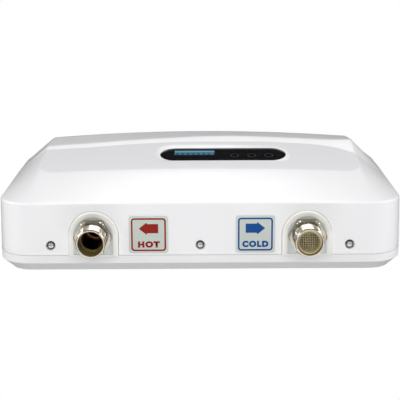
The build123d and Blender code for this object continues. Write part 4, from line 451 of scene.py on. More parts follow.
def read_out():
    """Blue backlit read-out: a bright strip over a row of short light segments, 4 mm apart."""
    material, tree, place = start_material("blue_lcd", "#3a6a84", 0.3)
    low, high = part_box("lcd_lens")
    apart = add_node(tree, "SeparateXYZ", {"Vector": place}).outputs
    rise = add_range(tree, apart["Z"], low.z, high.z)
    strip = add_node(tree, "ValToRGB", {"Fac": rise})
    for end, tone, position in zip(strip.color_ramp.elements, ("#264457", "#5a8ba0"), (0.5, 0.62)):
        end.color, end.position = colour(tone), position
    turns = add_math(tree, "MULTIPLY", apart["X"], 2 * math.pi / (SEGMENT_PITCH * MM))
    segment = add_range(tree, add_math(tree, "SINE", turns), 0.2, 0.5)
    off_row = add_math(tree, "ABSOLUTE", add_math(tree, "SUBTRACT", rise, SEGMENT_ROW))
    row = add_range(tree, off_row, 0.10, 0.14, 0.55, 0.0)
    lit = add_math(tree, "MULTIPLY", segment, row)
    glow = add_mix(tree, lit, strip.outputs["Color"], "#6f9fb0")
    set_shader(material, {"Base Color": glow, "Emission Color": glow,
                          "Emission Strength": 0.2, "Specular IOR Level": 0.15})
    return material


finishes["green_laminate"] = laminate()
finishes["blue_lcd"] = read_out()

# %% Give every node of the frame its finish
slot_of = {part["node"]: part["material_slot"] for part in frame["record"]["subparts"]}
for node_name, node_object in frame["nodes"].items():
    node_object.data.materials.clear()
    node_object.data.materials.append(finishes[slot_of[node_name]])
print(len(frame["nodes"]), "nodes have", len(set(slot_of.values())), "finishes")


def dress(piece, body, slot, *nodes, material=None):
    """Gives a new piece its finish, the given material or else the one of its slot, hangs it on
    its body and hides the nodes that it stands for.
    """
    piece.data.materials.clear()
    piece.data.materials.append(material or finishes[slot])
    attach(piece, body)
    if nodes:
        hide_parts(*nodes)


# %% [markdown]
# ## Camera, lamps and background
#
# The photo looks up at the bottom of the heater from 0.7 m away. Lying on its
# back, as in the photo, the heater would be seen from its pipe end, 14.8 degrees
# above its own plane. Hung on the wall this is a view from below.

# %% Camera
CAMERA_DISTANCE = 0.6769    # metres below the bottom face of the heater
CAMERA_OUT = 0.2321         # metres in front of the wall
CAMERA_PITCH = math.radians(14.8)
CAMERA_ROLL = math.radians(0.3)
camera_data = bpy.data.cameras.new("camera")
camera_data.lens = 90.0
camera_data.sensor_width = 36.0
camera = add_object("camera", camera_data)
# A camera that isn't turned looks straight down, so this one is turned over, less its pitch.
turned = Matrix.Rotation(math.pi - CAMERA_PITCH, 4, "X") @ Matrix.Rotation(-CAMERA_ROLL, 4, "Z")
camera_place = (0, -CAMERA_OUT, -HALF_HEIGHT * MM - CAMERA_DISTANCE)
camera.matrix_world = Matrix.Translation(camera_place) @ turned
bpy.context.scene.camera = camera

# %% [markdown]
# The key lamp stands below and in front. The slope lamp hangs above and in front,
# where the long slope mirrors it, so that slope is the brightest face. The ground
# lamp stands for the white ground that the heater lies on in the photo, and the
# end lamps light the slopes at the two ends. Nothing lights the faces that look up
# the wall, so they fall to grey.

# %% Lamps
def soft_lamp(name, place, size, power):
    """Area lamp of a (wide, high) size in metres that faces the middle of the heater."""
    data = bpy.data.lights.new(name, "AREA")
    data.shape = "RECTANGLE"
    data.size, data.size_y = size
    data.energy = power
    lamp = add_object(name, data)
    lamp.visible_camera = False
    aim = Vector((0, -0.04, 0)) - Vector(place)
    turn = aim.to_track_quat("-Z", "Y").to_matrix().to_4x4()
    lamp.matrix_world = Matrix.Translation(place) @ turn


soft_lamp("key_lamp", (0, -0.607, -0.585), (0.7, 0.2), 2.4)
soft_lamp("slope_lamp", (0, -1.055, 0.621), (1.3, 0.3), 2.3)
soft_lamp("ground_lamp", (0, 0.66, -0.79), (1.5, 1.0), 7.8)
for side in (-1, 1):
    soft_lamp("end_lamp", (side * 1.25, -0.68, -0.17), (0.8, 0.8), 14.5)

# %% [markdown]
# The world is white for the camera and through clear pieces. What the surfaces
# mirror of it fades to the sides, up the wall and straight ahead, as it does in a
# studio with one wide white sheet, and it adds next to nothing to their light.

# %% World
def ray_kinds(tree):
    """One on rays from the camera or through clear pieces, and one on mirrored rays."""
    ray = add_node(tree, "LightPath").outputs
    seen = add_math(tree, "MAXIMUM", ray["Is Camera Ray"], ray["Is Transmission Ray"])
    return seen, ray["Is Glossy Ray"]


scene_world = bpy.data.worlds.new("studio")
bpy.context.scene.world = scene_world
scene_world.use_nodes = True
sky = scene_world.node_tree
sky.nodes.clear()
seen, mirrored = ray_kinds(sky)
toward = add_node(sky, "SeparateXYZ", {0: add_node(sky, "TexCoord").outputs["Generated"]}).outputs
level = add_range(sky, add_math(sky, "ABSOLUTE", toward["X"]), 0.15, 0.65, 1.0, 0.12)
for fade in (add_range(sky, toward["Z"], -0.3, 0.4, 1.0, 0.08),
             add_range(sky, toward["Z"], -0.97, -0.75, 0.35, 1.0),
             add_range(sky, mirrored, 0.0, 1.0, 0.02, 0.96)):
    level = add_math(sky, "MULTIPLY", level, fade)
faded = add_node(sky, "Background", {"Color": "#ffffff", "Strength": level})
white = add_node(sky, "Background", {"Color": "#ffffff", "Strength": 1.0})
both = add_node(sky, "MixShader", {0: seen, 1: faded.outputs[0], 2: white.outputs[0]})
add_node(sky, "OutputWorld", {"Surface": both.outputs[0]})
bpy.context.scene.view_settings.view_transform = "Standard"

# %% Floor
FLOOR_UP = -1300.0
FLOOR_REACH = 4000.0
FLOOR_GLOW = 0.78           # the floor's tone where it is seen or mirrored; it lights nothing
edge = np.array([-FLOOR_REACH, FLOOR_REACH])
floor = make_piece("floor", world(edge[:, None], edge, FLOOR_UP), grid_quads(2, 2))
pale, tree, place = start_material("pale_floor", "#f2f2f2", 0.8)
add_tint(pale, place, 300, "#f4f4f4", "#efefef")
shown = add_math(tree, "MAXIMUM", *ray_kinds(tree))
glow = add_range(tree, shown, 0.0, 1.0, 0.0, FLOOR_GLOW)
set_shader(pale, {"Emission Strength": glow, "Emission Color": "#f6f6f6"})
floor.data.materials.append(pale)

# %% [markdown]
# ## Form of the cover
#
# The front is a height over the wall: a long slope above the pipes, the flatter
# console with the window, a steeper band that sweeps across, and a crest that
# falls to the top. A broken line with rounded corners is a start height, a first
# slope, and one softened ramp for each change of slope. Near the two ends the
# front falls on straight lines to the shoulder, so each end is a twisted face.

# %% Creases of the swoosh
STATION_SHARES = np.array((-1.06, -0.87, -0.6, -0.35, -0.1, 0.15, 0.46, 0.75, 0.87, 1.06))
LOWER_SHARES = np.array((0.545, 0.546, 0.538, 0.551, 0.563, 0.564, 0.570, 0.530, 0.462, 0.400))
UPPER_SHARES = np.array((0.578, 0.577, 0.573, 0.588, 0.604, 0.616, 0.614, 0.608, 0.603, 0.598))
CONSOLE_UP = 43.4
CONSOLE_OUT = 66.2
CONSOLE_SLOPE = math.tan(math.radians(11.0))
BAND_SLOPE = math.tan(math.radians(20.0))
FAR_EDGE_UP = 138.0
FAR_EDGE_OUT = 76.5
END_REACH = 25.0            # the slopes at the two ends start this far from the sides
CROWN_DROP = 6.7            # the front is this much lower at the sides than in the middle
EDGE_BOW = 6.0              # the console's near edge is this much higher at the sides


def crease(x, shares):
    """Smooth line through the stations: a cubic on each span with the neighbours' mean slopes."""
    stations, heights = STATION_SHARES * HALF_WIDTH, shares * BODY_HEIGHT
    slopes = np.gradient(heights, stations)
    span = np.clip(np.searchsorted(stations, x) - 1, 0, len(stations) - 2)
    width = stations[span + 1] - stations[span]
    t = (x - stations[span]) / width
    rise = heights[span + 1] - heights[span]
    start = heights[span] + slopes[span] * width * t * (1 - t) ** 2
    return start + rise * t * t * (3 - 2 * t) - slopes[span + 1] * width * t * t * (1 - t)


def ramp(distance, softness):
    """Zero before a corner and the distance after it, rounded over the softness."""
    return (distance + np.sqrt(distance ** 2 + softness ** 2)) / 2


def soft_min(a, b, softness):
    """Lower of two heights, rounded where they meet."""
    return (a + b - np.sqrt((a - b) ** 2 + softness ** 2)) / 2


def blend_min(a, b, width):
    """Lower of two heights, rounded only where they differ by less than the width."""
    share = np.clip(1 - np.abs(a - b) / width, 0, 1)
    return np.minimum(a, b) - width * share ** 2 / 4


CONSOLE_EDGE_SOFT = 0.8      # widths over which the creases are rounded
LOWER_SOFT = 0.5
UPPER_SOFT = 1.6
FAR_EDGE_SOFT = 1.8
END_SOFT = 0.9


def console_edge(x):
    """Where the console starts: a parabola over x that is higher towards the ends."""
    return CONSOLE_UP + EDGE_BOW * (x / HALF_WIDTH) ** 2


def body_out(x, up):
    """Height of the cover between its end slopes, before the window is let in."""
    drop = CROWN_DROP * (x / HALF_WIDTH) ** 2
    lower, upper = crease(x, LOWER_SHARES), crease(x, UPPER_SHARES)
    console = CONSOLE_OUT + (up - CONSOLE_UP) * CONSOLE_SLOPE - drop
    crest = CONSOLE_OUT + (lower - CONSOLE_UP) * CONSOLE_SLOPE + (upper - lower) * BAND_SLOPE
    far_slope = (FAR_EDGE_OUT - crest) / (FAR_EDGE_UP - upper)
    top = console + (BAND_SLOPE - CONSOLE_SLOPE) * ramp(up - lower, LOWER_SOFT)
    top = top + (far_slope - BAND_SLOPE) * ramp(up - upper, UPPER_SOFT)
    edge_up = console_edge(x)
    edge_out = CONSOLE_OUT + (edge_up - CONSOLE_UP) * CONSOLE_SLOPE - drop
    near = SHOULDER_OUT + up * (edge_out - SHOULDER_OUT) / edge_up
    far_fall = (FAR_EDGE_OUT - SHOULDER_OUT - drop) / (BODY_HEIGHT - FAR_EDGE_UP)
    far = SHOULDER_OUT + (BODY_HEIGHT - up) * far_fall
    return soft_min(soft_min(top, near, CONSOLE_EDGE_SOFT), far, FAR_EDGE_SOFT)


def front_out(x, up):
    """Height of the front: past the end line it falls on straight lines to the shoulder."""
    end_line = np.sign(x) * (HALF_WIDTH - END_REACH)
    fall = (body_out(end_line, up) - SHOULDER_OUT) / END_REACH
    return blend_min(body_out(x, up), SHOULDER_OUT + (HALF_WIDTH - np.abs(x)) * fall, END_SOFT)


# %% Window recess
WINDOW_X = 17.7
WINDOW_UP = 70.75
WINDOW_HALF_SPAN = 36.0     # half the straight part of the window
WINDOW_RADIUS = 12.0
RECESS_FLARE = 3.1
RECESS_DEPTH = 0.9
FAR_FLARE_SHARE = 0.888      # the flare is wider on the far side and narrower on the near side
NEAR_FLARE_SHARE = 1.08
CONSOLE_COS = math.cos(math.atan(CONSOLE_SLOPE))


def window_distance(x, up, power=2.0):
    """Distance from the window opening; a higher power squares its round ends."""
    along = np.maximum(np.abs(x - WINDOW_X) - WINDOW_HALF_SPAN, 0)
    uphill = np.abs(up - WINDOW_UP) / CONSOLE_COS
    return (along ** power + uphill ** power) ** (1 / power) - WINDOW_RADIUS


def window_plane(up, depth):
    """Height of the window's plane, sunk by a depth square to it."""
    crown = CROWN_DROP * (WINDOW_X / HALF_WIDTH) ** 2
    return CONSOLE_OUT + (up - CONSOLE_UP) * CONSOLE_SLOPE - crown - depth / CONSOLE_COS


def flare_share(x, up):
    """Nothing outside the flare round the window, rising to one at the opening."""
    uphill = (up - WINDOW_UP) * np.where(up > WINDOW_UP, FAR_FLARE_SHARE, NEAR_FLARE_SHARE)
    share = ramp(1 - window_distance(x, WINDOW_UP + uphill, 3.0) / RECESS_FLARE, 0.15)
    return np.clip(soft_min(share, 1.0, 0.1), 0, 1)


def outer_out(x, up):
    """Front with the flared recess: the height slides down to the sunk plane across the flare."""
    height = front_out(x, up)
    return height + flare_share(x, up) * (window_plane(up, RECESS_DEPTH) - height)


BOSS_REACH = 4.2
BOSS_DEPTH = 4.1


def inner_out(x, up):
    """Inner face of the front: a wall's thickness behind it, thicker round the window."""
    share = np.clip((BOSS_REACH + 1.5 - window_distance(x, up)) / 1.5, 0, 1)
    plain = front_out(x, up) - COVER_WALL * 1.05
    boss = np.minimum(window_plane(up, BOSS_DEPTH), plain)
    return plain + share * (boss - plain)


# %% [markdown]
# The mesh of the cover is two grids. The core covers the front with rows that
# follow the creases, so no crease runs across a quad. The skirt starts on the
# core's edge, goes over the rounded shoulder and down the leaning wall.

# %% Rows and columns of the core
CORE_INSET = 6.0
CORE_RADIUS = CORNER_RADIUS - CORE_INSET


def spread(*stops):
    """Values from (start, step) pairs up to each next start, with even steps between."""
    parts = []
    for (start, step), (end, _) in zip(stops[:-1], stops[1:]):
        count = max(1, round(abs(end - start) / step))
        parts.append(np.linspace(start, end, count, endpoint=False))
    return np.concatenate(parts + [np.array([stops[-1][0]])])


core_half = HALF_WIDTH - CORE_INSET
column_x = spread((-core_half, 1.5), (-124, 0.8), (-116, 3.0), (-38, 0.9), (-18, 3.0),
                  (52, 0.9), (73, 3.0), (116, 0.8), (124, 1.5), (core_half, 1))
column_share = column_x / core_half
corner_turn = np.radians(np.arange(0, 90, 7.5))
corner_rise = CORE_RADIUS * (1 - np.cos(corner_turn))
row_low = spread((CORNER_RADIUS, 2.0), (40, 0.8), (48, 2.0), (54, 1))
row_low = np.concatenate([CORE_INSET + corner_rise, row_low])
row_console = spread((0, 1 / 48), (0.92, 0.01), (1, 1))[1:]
row_band = np.linspace(0, 1, 12)[1:]
row_crest = spread((0, 0.7), (7, 1))[1:]
row_far = spread((0, 0.1), (0.8, 0.04), (1, 1))[1:]
row_high = spread((FAR_EDGE_UP + 1, 1.0), (BODY_HEIGHT - CORNER_RADIUS, 1))
row_top = BODY_HEIGHT - CORE_INSET - corner_rise[::-1]


def core_grid():
    """x and up of the core: rows follow the creases, columns narrow with the round corners."""
    low = row_low[:, None] + 0 * column_x
    lower, upper = crease(column_x, LOWER_SHARES), crease(column_x, UPPER_SHARES)
    console = row_low[-1] + row_console[:, None] * (lower - row_low[-1])
    band = lower + row_band[:, None] * (upper - lower)
    crest = upper + row_crest[:, None]
    far_start = upper + row_crest[-1]
    far = far_start + row_far[:, None] * (row_high[0] - far_start)
    high = np.concatenate([row_high[1:], row_top])[:, None] + 0 * column_x
    up = np.concatenate([low, console, band, crest, far, high])
    edge_gap = np.minimum(up, BODY_HEIGHT - up) - CORE_INSET
    missing = np.clip(CORE_RADIUS - edge_gap, 0, CORE_RADIUS)
    half = core_half - CORE_RADIUS + np.sqrt(CORE_RADIUS ** 2 - missing ** 2)
    return column_share * half, up


core_x, core_up = core_grid()
print("core grid", core_x.shape, "rows and columns")


# %% Skirt over the shoulder and down the wall
def edge_loop(values):
    """Values along the four edges of a grid, once round."""
    return np.concatenate([values[0, :-1], values[:-1, -1], values[-1, :0:-1], values[:0:-1, 0]])


def lean(out):
    """How far the wall has come in at a height over the wall plane."""
    return (out - PARTING_OUT) * DRAFT


def skirt(out_function, wall, round_radius, foot):
    """Rings from the core's edge outwards and down: (ring, point) arrays of x, out and up.

    Each point of the edge has its own direction. The ring goes out along the front,
    round an arc that touches front and wall, and down the wall to its foot.
    """
    px, pu = edge_loop(core_x), edge_loop(core_up) - HALF_HEIGHT
    qx = np.clip(px, CORNER_RADIUS - HALF_WIDTH, HALF_WIDTH - CORNER_RADIUS)
    qu = np.clip(pu, CORNER_RADIUS - HALF_HEIGHT, HALF_HEIGHT - CORNER_RADIUS)
    length = np.hypot(px - qx, pu - qu)
    nx, nu = (px - qx) / length, (pu - qu) / length

    def at(inset):
        """x and up of each point of the edge, this far in from the casing's outline."""
        return qx + nx * (CORNER_RADIUS - inset), qu + nu * (CORNER_RADIUS - inset) + HALF_HEIGHT

    corner_inset = wall + lean(SHOULDER_OUT) + 0 * px
    for _ in range(3):
        corner_out = out_function(*at(corner_inset))
        corner_inset = wall + lean(corner_out)
    slope = np.arctan(out_function(*at(corner_inset + 1.0)) - corner_out)
    reach = round_radius * np.tan((np.pi / 2 - slope) / 2)
    arc_inset = corner_inset + round_radius * (1 - np.sin(slope))
    front_inset = CORE_INSET + np.linspace(0, 1, 6)[1:-1, None] * (arc_inset - CORE_INSET)
    turn = np.linspace(1, 0, 8)[:, None] * (np.pi / 2 - slope)
    wall_top = corner_out - reach
    wall_out = wall_top + np.linspace(0, 1, 13)[1:, None] * (foot[0][1] - wall_top)
    foot_inset, foot_out = np.array(foot[1:]).T[..., None] + 0 * px
    inset = np.concatenate([front_inset, corner_inset + round_radius * (1 - np.cos(turn)),
                            wall + lean(wall_out), wall + foot_inset])
    out = np.concatenate([out_function(*at(front_inset)),
                          wall_top + round_radius * np.sin(turn), wall_out, foot_out])
    x, up = at(inset)
    return x, out, up


# %% Join core and skirt
def sheet(out_function, wall, round_radius, foot, offset):
    """One face of the shell: core and skirt as points, quads and the numbers of its last ring."""
    core = world(core_x, out_function(core_x, core_up), core_up)
    rings = world(*skirt(out_function, wall, round_radius, foot))
    points = np.concatenate([core.reshape(-1, 3), rings.reshape(-1, 3)])
    core_numbers, ring_numbers = np.split(np.arange(len(points)) + offset, [core_x.size])
    bands = np.vstack([edge_loop(core_numbers.reshape(core_x.shape)),
                       ring_numbers.reshape(rings.shape[:2])])
    nxt = np.roll(bands, -1, axis=1)
    strip = np.stack([bands[:-1], bands[1:], nxt[1:], nxt[:-1]], axis=-1).reshape(-1, 4)
    return points, np.concatenate([grid_quads(*core_x.shape) + offset, strip]), bands[-1]


OUTER_ROUND = 1.6           # radius of the shoulder outside
INNER_ROUND = 0.4           # and inside
FOOT_ROUND = 0.25           # the foot of the cover is rounded off by this
outer_foot = [(0, COVER_FOOT_OUT + FOOT_ROUND),
              (0.3 * FOOT_ROUND, COVER_FOOT_OUT + 0.3 * FOOT_ROUND), (FOOT_ROUND, COVER_FOOT_OUT)]
inner_foot = [(0, COVER_FOOT_OUT + 1.4), (0, COVER_FOOT_OUT)]


def make_cover():
    """Closed shell: outer sheet, inner sheet and the rim between their feet."""
    outer, outer_quads, outer_rim = sheet(outer_out, 0.0, OUTER_ROUND, outer_foot, 0)
    inner, inner_quads, inner_rim = sheet(inner_out, COVER_WALL, INNER_ROUND, inner_foot,
                                          len(outer))
    rim = [outer_rim, inner_rim, np.roll(inner_rim, -1), np.roll(outer_rim, -1)]
    faces = np.concatenate([outer_quads, inner_quads[:, ::-1], np.stack(rim, axis=-1)])
    return make_piece("cover_shell", np.concatenate([outer, inner]), faces, 40.0)


cover = make_cover()
print("cover shell", len(cover.data.polygons), "faces")

# %% [markdown]
# Openings are cut out of the closed shell: the window with the pocket for its
# flange, the two arched slots for the pads, and the three screw wells. Each
# cutter is a closed surface too.

# %% Stadium cutter for the window
def stadium_block(name, grow, depth_from, depth_to):
    """Closed prism square to the console between two depths, with two half circles for ends."""
    turn = np.linspace(-np.pi / 2, np.pi / 2, 24)
    halves = (WINDOW_HALF_SPAN + (WINDOW_RADIUS + grow) * np.cos(turn),
              (WINDOW_RADIUS + grow) * np.sin(turn))
    along, uphill = (np.concatenate([half, -half]) for half in halves)
    rings = []
    for size, depth in ((0, depth_from), (1, depth_from), (1, depth_to), (0, depth_to)):
        up = WINDOW_UP + size * uphill * CONSOLE_COS
        base = window_plane(up, 0) - depth * CONSOLE_COS
        up = up + depth * CONSOLE_SLOPE * CONSOLE_COS
        rings.append(world(WINDOW_X + size * along, base, up))
    return make_rings(name, rings, closed=False)


# %% Arch cutters and well cutters
PAD_RADIUS = 17.5
SLOT_GAP = 0.3
SCREW_X = 106.0
SCREW_OUT = 20.3
WELL_RADIUS = 3.4
WELL_DEPTH = 2.2
HOLE_RADIUS = 1.6           # clearance hole for the screw's shank
CUT_LOW = -4.0              # the cutters start under the bottom wall
SLOT_HIGH = 8.0             # and end above it
WELL_HIGH = 6.0


def arch_angles(bottom, radius):
    """Angles round an arch on straight legs, with its two bottom corners hit exactly."""
    corner = math.atan2(bottom, radius)
    stops = (0, np.pi, np.pi + corner, 2 * np.pi - corner, 2 * np.pi)
    spans = zip(stops[:-1], stops[1:], (48, 16, 32, 16))
    return np.concatenate([np.linspace(a, b, n, endpoint=False) for a, b, n in spans])


def arch_ring(grow, up, x, bottom):
    """Points of an arch grown by a margin: the nearest of its arc, legs and foot line."""
    radius = PAD_RADIUS + grow
    turn = arch_angles(bottom, radius)
    leg = radius / np.maximum(np.abs(np.cos(turn)), 1e-9)
    foot = bottom / np.maximum(np.abs(np.sin(turn)), 1e-9)
    reach = np.where(turn <= np.pi, radius, np.minimum(leg, foot))
    return round_axis((x, PIPE_OUT), reach, turn, up)


def arch_block(name, x):
    """Closed cutter for one pad slot, open towards the parting line."""
    bottom = PIPE_OUT - COVER_FOOT_OUT + 3.0
    low, high = (arch_ring(SLOT_GAP, up, x, bottom) for up in (CUT_LOW, SLOT_HIGH))
    below, above = (world(x, PIPE_OUT, up) + 0 * low for up in (CUT_LOW, SLOT_HIGH))
    return make_rings(name, [below, low, high, above], closed=False)


def well_block(name, x):
    """Closed cutter for one screw well with the clearance hole behind it."""
    mouth = WELL_RADIUS + 0.25
    profile = [(0, CUT_LOW), (mouth, CUT_LOW), (mouth, 0.1), (WELL_RADIUS, 0.45),
               (WELL_RADIUS, WELL_DEPTH), (HOLE_RADIUS, WELL_DEPTH), (HOLE_RADIUS, WELL_HIGH),
               (0, WELL_HIGH)]
    return revolve(name, profile, (x, SCREW_OUT), 48, False)


# %% Cut the openings and dress the cover
LIP_DEPTH = 2.5             # the window's flange lies behind a lip of this thickness
FLANGE = 2.1
OVER_FRONT = -3.0           # the window's cutter starts in front of the console
BEHIND_BOSS = 9.0           # and ends behind the thick rim of the opening
CONSOLE_CORNER = 12.0       # rounding of the console's near corners
SHADE_DEPTH = 2.2            # the console's painted shade is on the outer side of the wall only
SHADE_EDGE = 0.8
cutters = [stadium_block("window_hole", 0.0, OVER_FRONT, BEHIND_BOSS),
           stadium_block("window_pocket", FLANGE, LIP_DEPTH, BEHIND_BOSS)]
cutters += [arch_block(f"slot_{side}", side * PIPE_X) for side in (-1, 1)]
cutters += [well_block(f"well_{index}", (index - 1) * SCREW_X) for index in range(3)]
cut_away(cover, cutters, 40.0)


def mark_window_edge(piece):
    """Marks the wall of the window opening, which is painted grey as shade: faces on its outline,
    upright on the console.
    """
    x, y, z = read_vectors(piece.data.polygons, "center").T / MM
    square = np.array((0, CONSOLE_COS, CONSOLE_COS * CONSOLE_SLOPE))
    across = read_vectors(piece.data.polygons, "normal") @ square
    near = np.abs(window_distance(x, z + HALF_HEIGHT)) < 0.8
    on_wall = near & (np.abs(across) < 0.3) & (-y > SHOULDER_OUT)
    # painted shade: these faces take a grey tone
    store(piece, "window_edge_shade", "FACE", on_wall)
    print(int(on_wall.sum()), "faces in the window opening's wall")


def console_shade_share(x, out, up):
    """Painted shade of the console: one outside the flare, from its near edge, round at the
    corners, up.
    """
    inward, rise = HALF_WIDTH - END_REACH - np.abs(x), up - console_edge(x)
    short = [np.maximum(CONSOLE_CORNER - gap, 0) for gap in (inward, rise)]
    inside = np.minimum(CONSOLE_CORNER - np.hypot(*short), crease(x, LOWER_SHARES) - up)
    on_front = out > front_out(x, up) - SHADE_DEPTH
    flat = np.clip(1 - 3 * flare_share(x, up), 0, 1)
    return flat * np.clip(inside / SHADE_EDGE + 0.5, 0, 1) * on_front


mark_window_edge(cover)
# the console's greyer tone is painted shade
paint(cover, "console", console_shade_share)
dress(cover, "cover", "white_gloss_abs", "front_cover")
print("cover with openings", len(cover.data.polygons), "faces")

# %% [markdown]
# ## Pads round the stubs
#
# Each pad is a soft frosted moulding that closes the slot of the cover. Its rim is thick and
# rounded, and its arched floor is thin and sunk. The floor is painted darker, both for the dark
# inside that shows through it and as painted shade of the recess.
# It is a ring of arches: the arch shrinks and sinks from one ring to the next and
# ends on the circle of the shank.

# %% Frosted pads
PAD_PROUD = 2.0
PAD_RIM = 3.6
SHANK_RADIUS = 9.75
PAD_BOTTOM = PIPE_OUT - COVER_FOOT_OUT
PAD_FLOOR = -1.5
PAD_END = 3.4               # the pad reaches this far into the casing
BOTTOM_SHARE = 0.3          # the rim is narrower along the foot of the pad
pad_profile = ((0.0, PAD_END), (0.0, -1.3), (-0.06, -1.6), (-0.22, -1.84), (-0.5, -1.97),
               (-0.9, -2.0), (-3.3, -2.0), (-PAD_RIM, -1.9), (-3.8, -PAD_PROUD + 0.3),
               (-4.0, PAD_FLOOR))


def make_pad(name, x):
    """Closed ring: arches that grow by the profile's values, then two circles back inside."""
    rings = [arch_ring(grow, up, x, PAD_BOTTOM + BOTTOM_SHARE * grow) for grow, up in pad_profile]
    turn = arch_angles(PAD_BOTTOM, PAD_RADIUS)
    for up in (PAD_FLOOR, PAD_END):
        rings.append(round_axis((x, PIPE_OUT), SHANK_RADIUS + 0.1, turn, up))
    return make_rings(name, rings, 50.0)


def pad_floor_shade(x, out, up):
    """Painted shade: one on the sunk floor of a pad, nothing on its rim and outside."""
    aside, above = np.abs(np.abs(x) - PIPE_X), out - PIPE_OUT
    reach = np.where(above > 0, np.hypot(aside, above), aside)
    return np.clip((PAD_RADIUS - PAD_RIM - reach) / 0.2, 0, 1) * (above > 1.1 - PAD_BOTTOM)


for side, node in ((-1, "outlet_pad"), (1, "inlet_pad")):
    moulding = make_pad(node + "_moulding", side * PIPE_X)
    dress(paint(moulding, "thin", pad_floor_shade), "casing", "frosted_polymer", node)
print("pad rim", PAD_RIM, "mm wide and", PAD_PROUD, "mm proud")

# %% [markdown]
# ## Pipe stubs
#
# A stub is turned from hexagon bar, threaded and plated. All its surfaces are one
# closed grid over turn and profile: the radius of the hexagon depends on the turn,
# a chamfer cone cuts its corners, and the thread is a triangle wave that moves one
# pitch along for each turn.

# %% Profile of the stub
THREAD_RADIUS = 10.475
THREAD_PITCH = 1.814
THREAD_DEPTH = 0.95
THREAD_STEP = 0.13          # rings along the thread
TIP_UP = -20.6
THREAD_END_UP = -7.6
HEX_FRONT_UP = -6.9
HEX_BACK_UP = -0.9
HEX_FLATS = 24.0
CHAMFER_RADIUS = 12.5       # the chamfer cone cuts the hexagon's end faces at this radius
BORE_RADIUS = 8.8
THROAT_RADIUS = 7.7
THROAT_UP = -8.6
LAND_SHARE = 0.3            # the plain rim of the mouth stands this share of the thread high
SHANK_UP = 20.0
TURNS = full_turn(144)


def hex_radius(turn):
    """Distance from the axis to a hexagon with corners left and right."""
    return HEX_FLATS / 2 / np.cos((turn % (np.pi / 3)) - np.pi / 6)


def thread_radius(turn, up):
    """Radius of a one-start thread: a triangle wave along the axis, less deep at its two ends."""
    phase = (up / THREAD_PITCH - turn / (2 * np.pi)) % 1.0
    wave = np.clip(np.abs(2 * phase - 1) * 1.5 - 0.25, 0, 1)
    tip = np.clip((up - TIP_UP - 0.4) / 1.0, 0, 1)
    height = (LAND_SHARE + tip * (wave - LAND_SHARE)) * np.clip((THREAD_END_UP - up) / 1.0, 0, 1)
    return THREAD_RADIUS - THREAD_DEPTH * (1 - height)


def make_stub(name, x):
    """Closed rings of a stub: mouth, thread, hexagon and shank, then throat and bore inside."""
    rows = [(BORE_RADIUS + 0.2, TIP_UP)]
    for up in np.arange(TIP_UP, THREAD_END_UP + 0.01, THREAD_STEP):
        rows.append((thread_radius(TURNS, up), up))
    rows.append((THREAD_RADIUS - THREAD_DEPTH, HEX_FRONT_UP))
    for up in np.linspace(HEX_FRONT_UP, HEX_BACK_UP, 13):
        chamfer = CHAMFER_RADIUS + 1.9 * np.minimum(up - HEX_FRONT_UP, 2 * (HEX_BACK_UP - up))
        rows.append((np.minimum(hex_radius(TURNS), chamfer), up))
    rows += [(SHANK_RADIUS, HEX_BACK_UP), (SHANK_RADIUS, SHANK_UP), (THROAT_RADIUS, SHANK_UP),
             (THROAT_RADIUS, THROAT_UP + 0.6), (THROAT_RADIUS, THROAT_UP),
             (BORE_RADIUS - 0.3, THROAT_UP), (BORE_RADIUS, THROAT_UP - 0.3),
             (BORE_RADIUS, TIP_UP + 0.5)]
    rings = [round_axis((x, PIPE_OUT), radius, TURNS, up) for radius, up in rows]
    return make_rings(name, rings, 24.0)


def within(radius, from_up):
    """Function that marks what lies near a stub's axis and above a height."""
    def marked(x, out, up):
        """One where the distance from the nearer axis is small enough, nothing elsewhere."""
        axis_distance = np.hypot(np.abs(x) - PIPE_X, out - PIPE_OUT)
        return 1.0 * ((axis_distance < radius + 0.1) & (up > from_up))
    return marked


for side, node in ((-1, "outlet_stub"), (1, "inlet_stub")):
    stub = make_stub(node + "_turned", side * PIPE_X)
    paint(stub, "bare", within(BORE_RADIUS, TIP_UP + 0.2))
    # painted shade: the bore is black past the throat
    paint(stub, "black", within(THROAT_RADIUS, THROAT_UP + 0.3))
    dress(stub, "casing", "nickel_brass", node)
    threads = round((THREAD_END_UP - TIP_UP) / THREAD_PITCH, 1)
    print(node, len(stub.data.polygons), "faces,", threads, "threads")

# %% [markdown]
# ## Inlet filter
#
# The filter is a disc of woven bronze wire at the end of a pleated skirt, in a
# rolled ring. Each wire passes over and under its neighbours: its height is a sine
# with half a wave for each crossing, and the wires of the other set have the
# opposite sign. The skirt's radius swings with the turn, which makes the pleats.

# %% Woven wires
WIRE_RADIUS = 0.2
WIRE_PITCH = 1.25
MESH_RADIUS = 7.2
MESH_DOME = 0.8
MESH_UP = -13.4
RING_TOP_UP = -12.2
RING_FRONT_UP = -18.2


